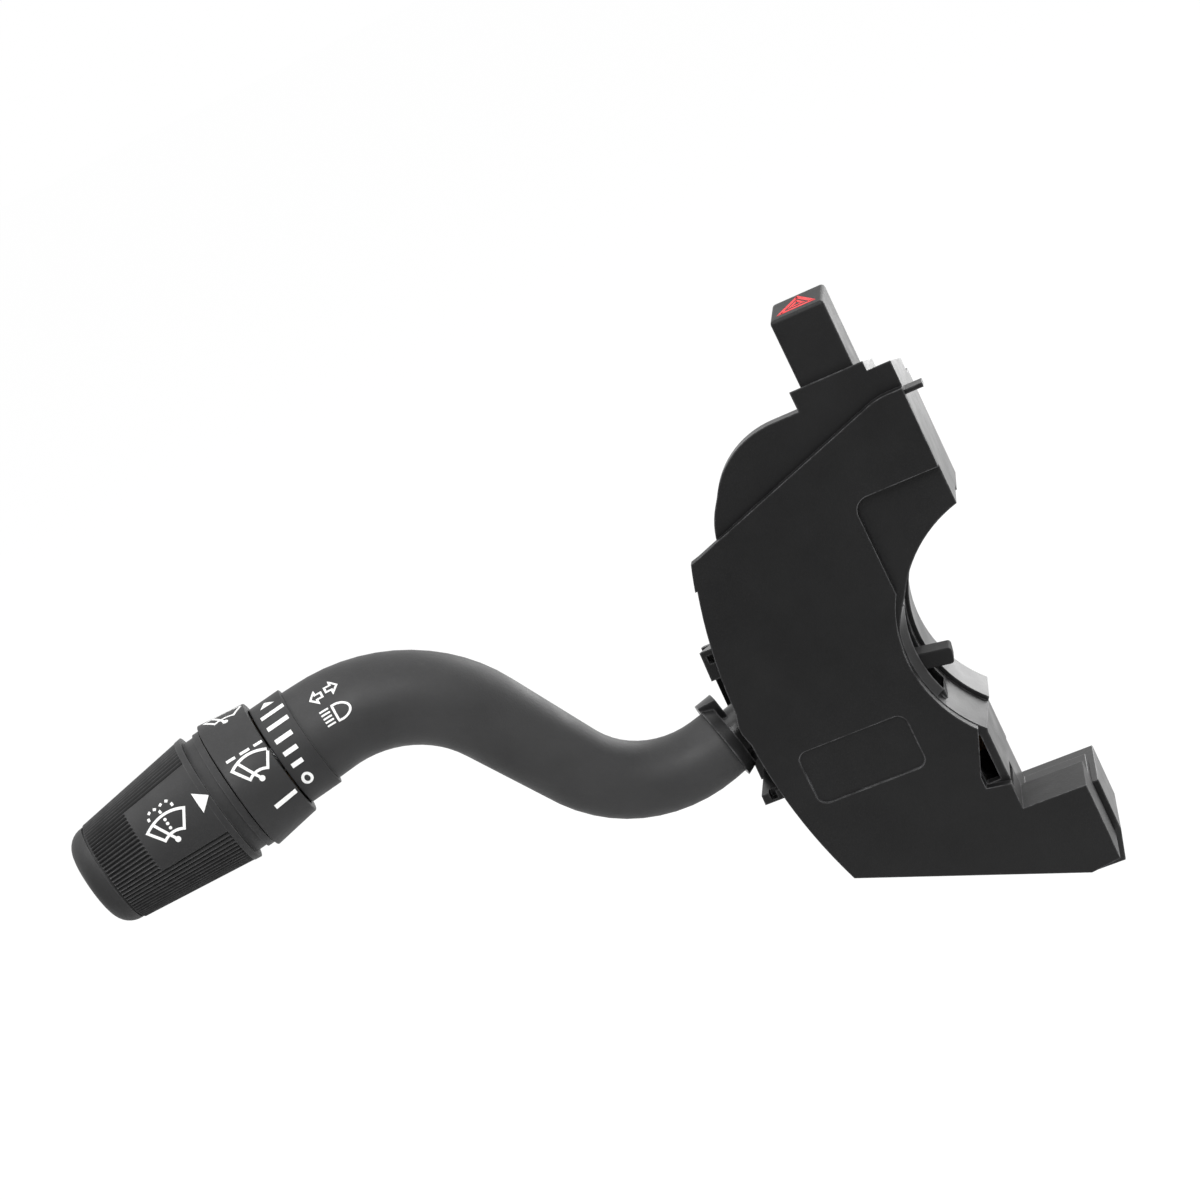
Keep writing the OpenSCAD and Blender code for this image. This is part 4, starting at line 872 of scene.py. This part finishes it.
# Distance of these prints from the knob's start
PRINT_PLACE = 7.5
for name, (shapes, angle) in STALK_PRINTS.items():
    printed(name, shapes,
            on_stalk(stalk_skin, PRINT_PLACE, angle, STALK_R), WHITE_INK, "stalk")

# Hazard triangle on the button's top: an outer and an inner one, with sizes and lines
SIDE, RISE = 7.6, 7.6
TRIANGLE_FRONT = 3.4
INNER_SIZE, INNER_FRONT = 0.4, 0.22
OUTER_LINE, INNER_LINE = 1.0, 0.7


def triangle(size, front):
    """Corners of a triangle whose base lies along the button's front edge."""
    return [(-size * SIDE / 2, front), (size * SIDE / 2, front), (0.0, front + size * RISE)]


outer = stroke(triangle(1.0, 0.0), OUTER_LINE, closed=True)
inner = stroke(triangle(INNER_SIZE, INNER_FRONT * RISE), INNER_LINE, closed=True)
button_low, button_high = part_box("hazard_button")
front_middle = Vector((
    (button_low.x + button_high.x) / 2, button_low.y + TRIANGLE_FRONT * MM, button_high.z))
printed("hazard_print", [outer, inner],
        on_top(button_skin, front_middle), RED_INK, "hazard")

# Stage: pale floor, soft studio light

# Floor, in metres: half its width and its distance under the part
FLOOR_HALF = 4.0
FLOOR_DROP = 0.06
# Scale of the floor's mottle
PAPER_SCALE = 40.0
# The floor's own glow, and the share of it that the eye sees
GLOW, GLOW_SHARE = 1.05, 0.9
# How much gloss loses on the driver's side, which is dim
GLOSS_LOSS = 0.85
# The world's strength as a light, against one where it is seen
SKY_LIGHT = 0.55


def make_floor():
    """A white floor that keeps a faint shadow."""
    level = cad_box[0].z - FLOOR_DROP
    corners = ((-1, -1), (1, -1), (1, 1), (-1, 1))
    points = [(x * FLOOR_HALF, y * FLOOR_HALF, level) for x, y in corners]
    mesh = bpy.data.meshes.new("floor")
    mesh.from_pydata(points, [], [(0, 1, 2, 3)])
    material, tree, shader = new_material("white_floor")
    shader.inputs["Roughness"].default_value = 0.9
    paper = noise(tree, body_place(tree), PAPER_SCALE)
    white = blend_colour(tree, paper, (0.86, 0.86, 0.86), (0.9, 0.9, 0.9))
    tree.links.new(white, shader.inputs["Base Color"])
    glow = tree.nodes.new("ShaderNodeEmission")
    across = tree.nodes.new("ShaderNodeSeparateXYZ")
    tree.links.new(body_place(tree), across.inputs["Vector"])
    strength = shown(tree, across.outputs["Y"], dim_from=-0.3, bright_from=0.15, full=GLOW)
    tree.links.new(strength, glow.inputs["Strength"])
    mixed = tree.nodes.new("ShaderNodeMixShader")
    seen = reckon(tree, "MULTIPLY", seen_directly(tree), GLOW_SHARE)
    tree.links.new(seen, mixed.inputs["Fac"])
    tree.links.new(shader.outputs["BSDF"], mixed.inputs[1])
    tree.links.new(glow.outputs["Emission"], mixed.inputs[2])
    tree.links.new(mixed.outputs["Shader"], tree.nodes["Material Output"].inputs["Surface"])
    floor = new_piece("floor", mesh, material)


def shown(tree, toward_rear, dim_from, bright_from, full):
    """White to the eye; in gloss the driver's side of the studio is dim."""
    path = tree.nodes.new("ShaderNodeLightPath")
    lack = spread(tree, toward_rear, dim_from, bright_from, to_low=GLOSS_LOSS, to_high=0.0)
    lost = reckon(tree, "MULTIPLY", path.outputs["Is Glossy Ray"], lack)
    return reckon(tree, "MULTIPLY", reckon(tree, "SUBTRACT", 1.0, lost), full)


def seen_directly(tree):
    """One where a surface is seen by the camera, or in gloss or glass."""
    path = tree.nodes.new("ShaderNodeLightPath")
    either = reckon(tree, "MAXIMUM", path.outputs["Is Camera Ray"], path.outputs["Is Glossy Ray"])
    return reckon(tree, "MAXIMUM", either, path.outputs["Is Transmission Ray"])


def make_world():
    """White to the eye and in reflections, and dimmer as a light."""
    world = bpy.data.worlds.new("studio")
    bpy.context.scene.world = world
    world.use_nodes = True
    tree = world.node_tree
    sky = tree.nodes["Background"]
    sky.inputs["Color"].default_value = (1, 1, 1, 1)
    toward = tree.nodes.new("ShaderNodeSeparateXYZ")
    around = tree.nodes.new("ShaderNodeTexCoord").outputs["Generated"]
    tree.links.new(around, toward.inputs["Vector"])
    plain = spread(tree, seen_directly(tree), 0, 1, to_low=SKY_LIGHT)
    strength = shown(tree, toward.outputs["Y"], dim_from=-0.5, bright_from=0.2, full=plain)
    tree.links.new(strength, sky.inputs["Strength"])


def soft_lamp(name, place, aim, size, power):
    """A large soft lamp aimed at a point."""
    data = bpy.data.lights.new(name, "AREA")
    data.shape = "RECTANGLE"
    data.size, data.size_y = size
    data.energy = power
    lamp = bpy.data.objects.new(name, data)
    bpy.context.scene.collection.objects.link(lamp)
    lamp.location = place
    lamp.rotation_euler = (Vector(aim) - Vector(place)).to_track_quat("-Z", "Y").to_euler()


make_floor()
make_world()
middle = (cad_box[0] + cad_box[1]) / 2
soft_lamp("overhead", place=(-0.35, -0.15, 0.75), aim=middle, size=(0.6, 0.6), power=3)
soft_lamp("front_above", place=(0.26, -0.57, 0.63), aim=middle, size=(0.4, 0.4), power=5.5)
soft_lamp("rear_right", place=(0.28, 0.55, 0.05), aim=middle, size=(0.7, 0.5), power=4)

bpy.context.scene.view_settings.view_transform = "Standard"
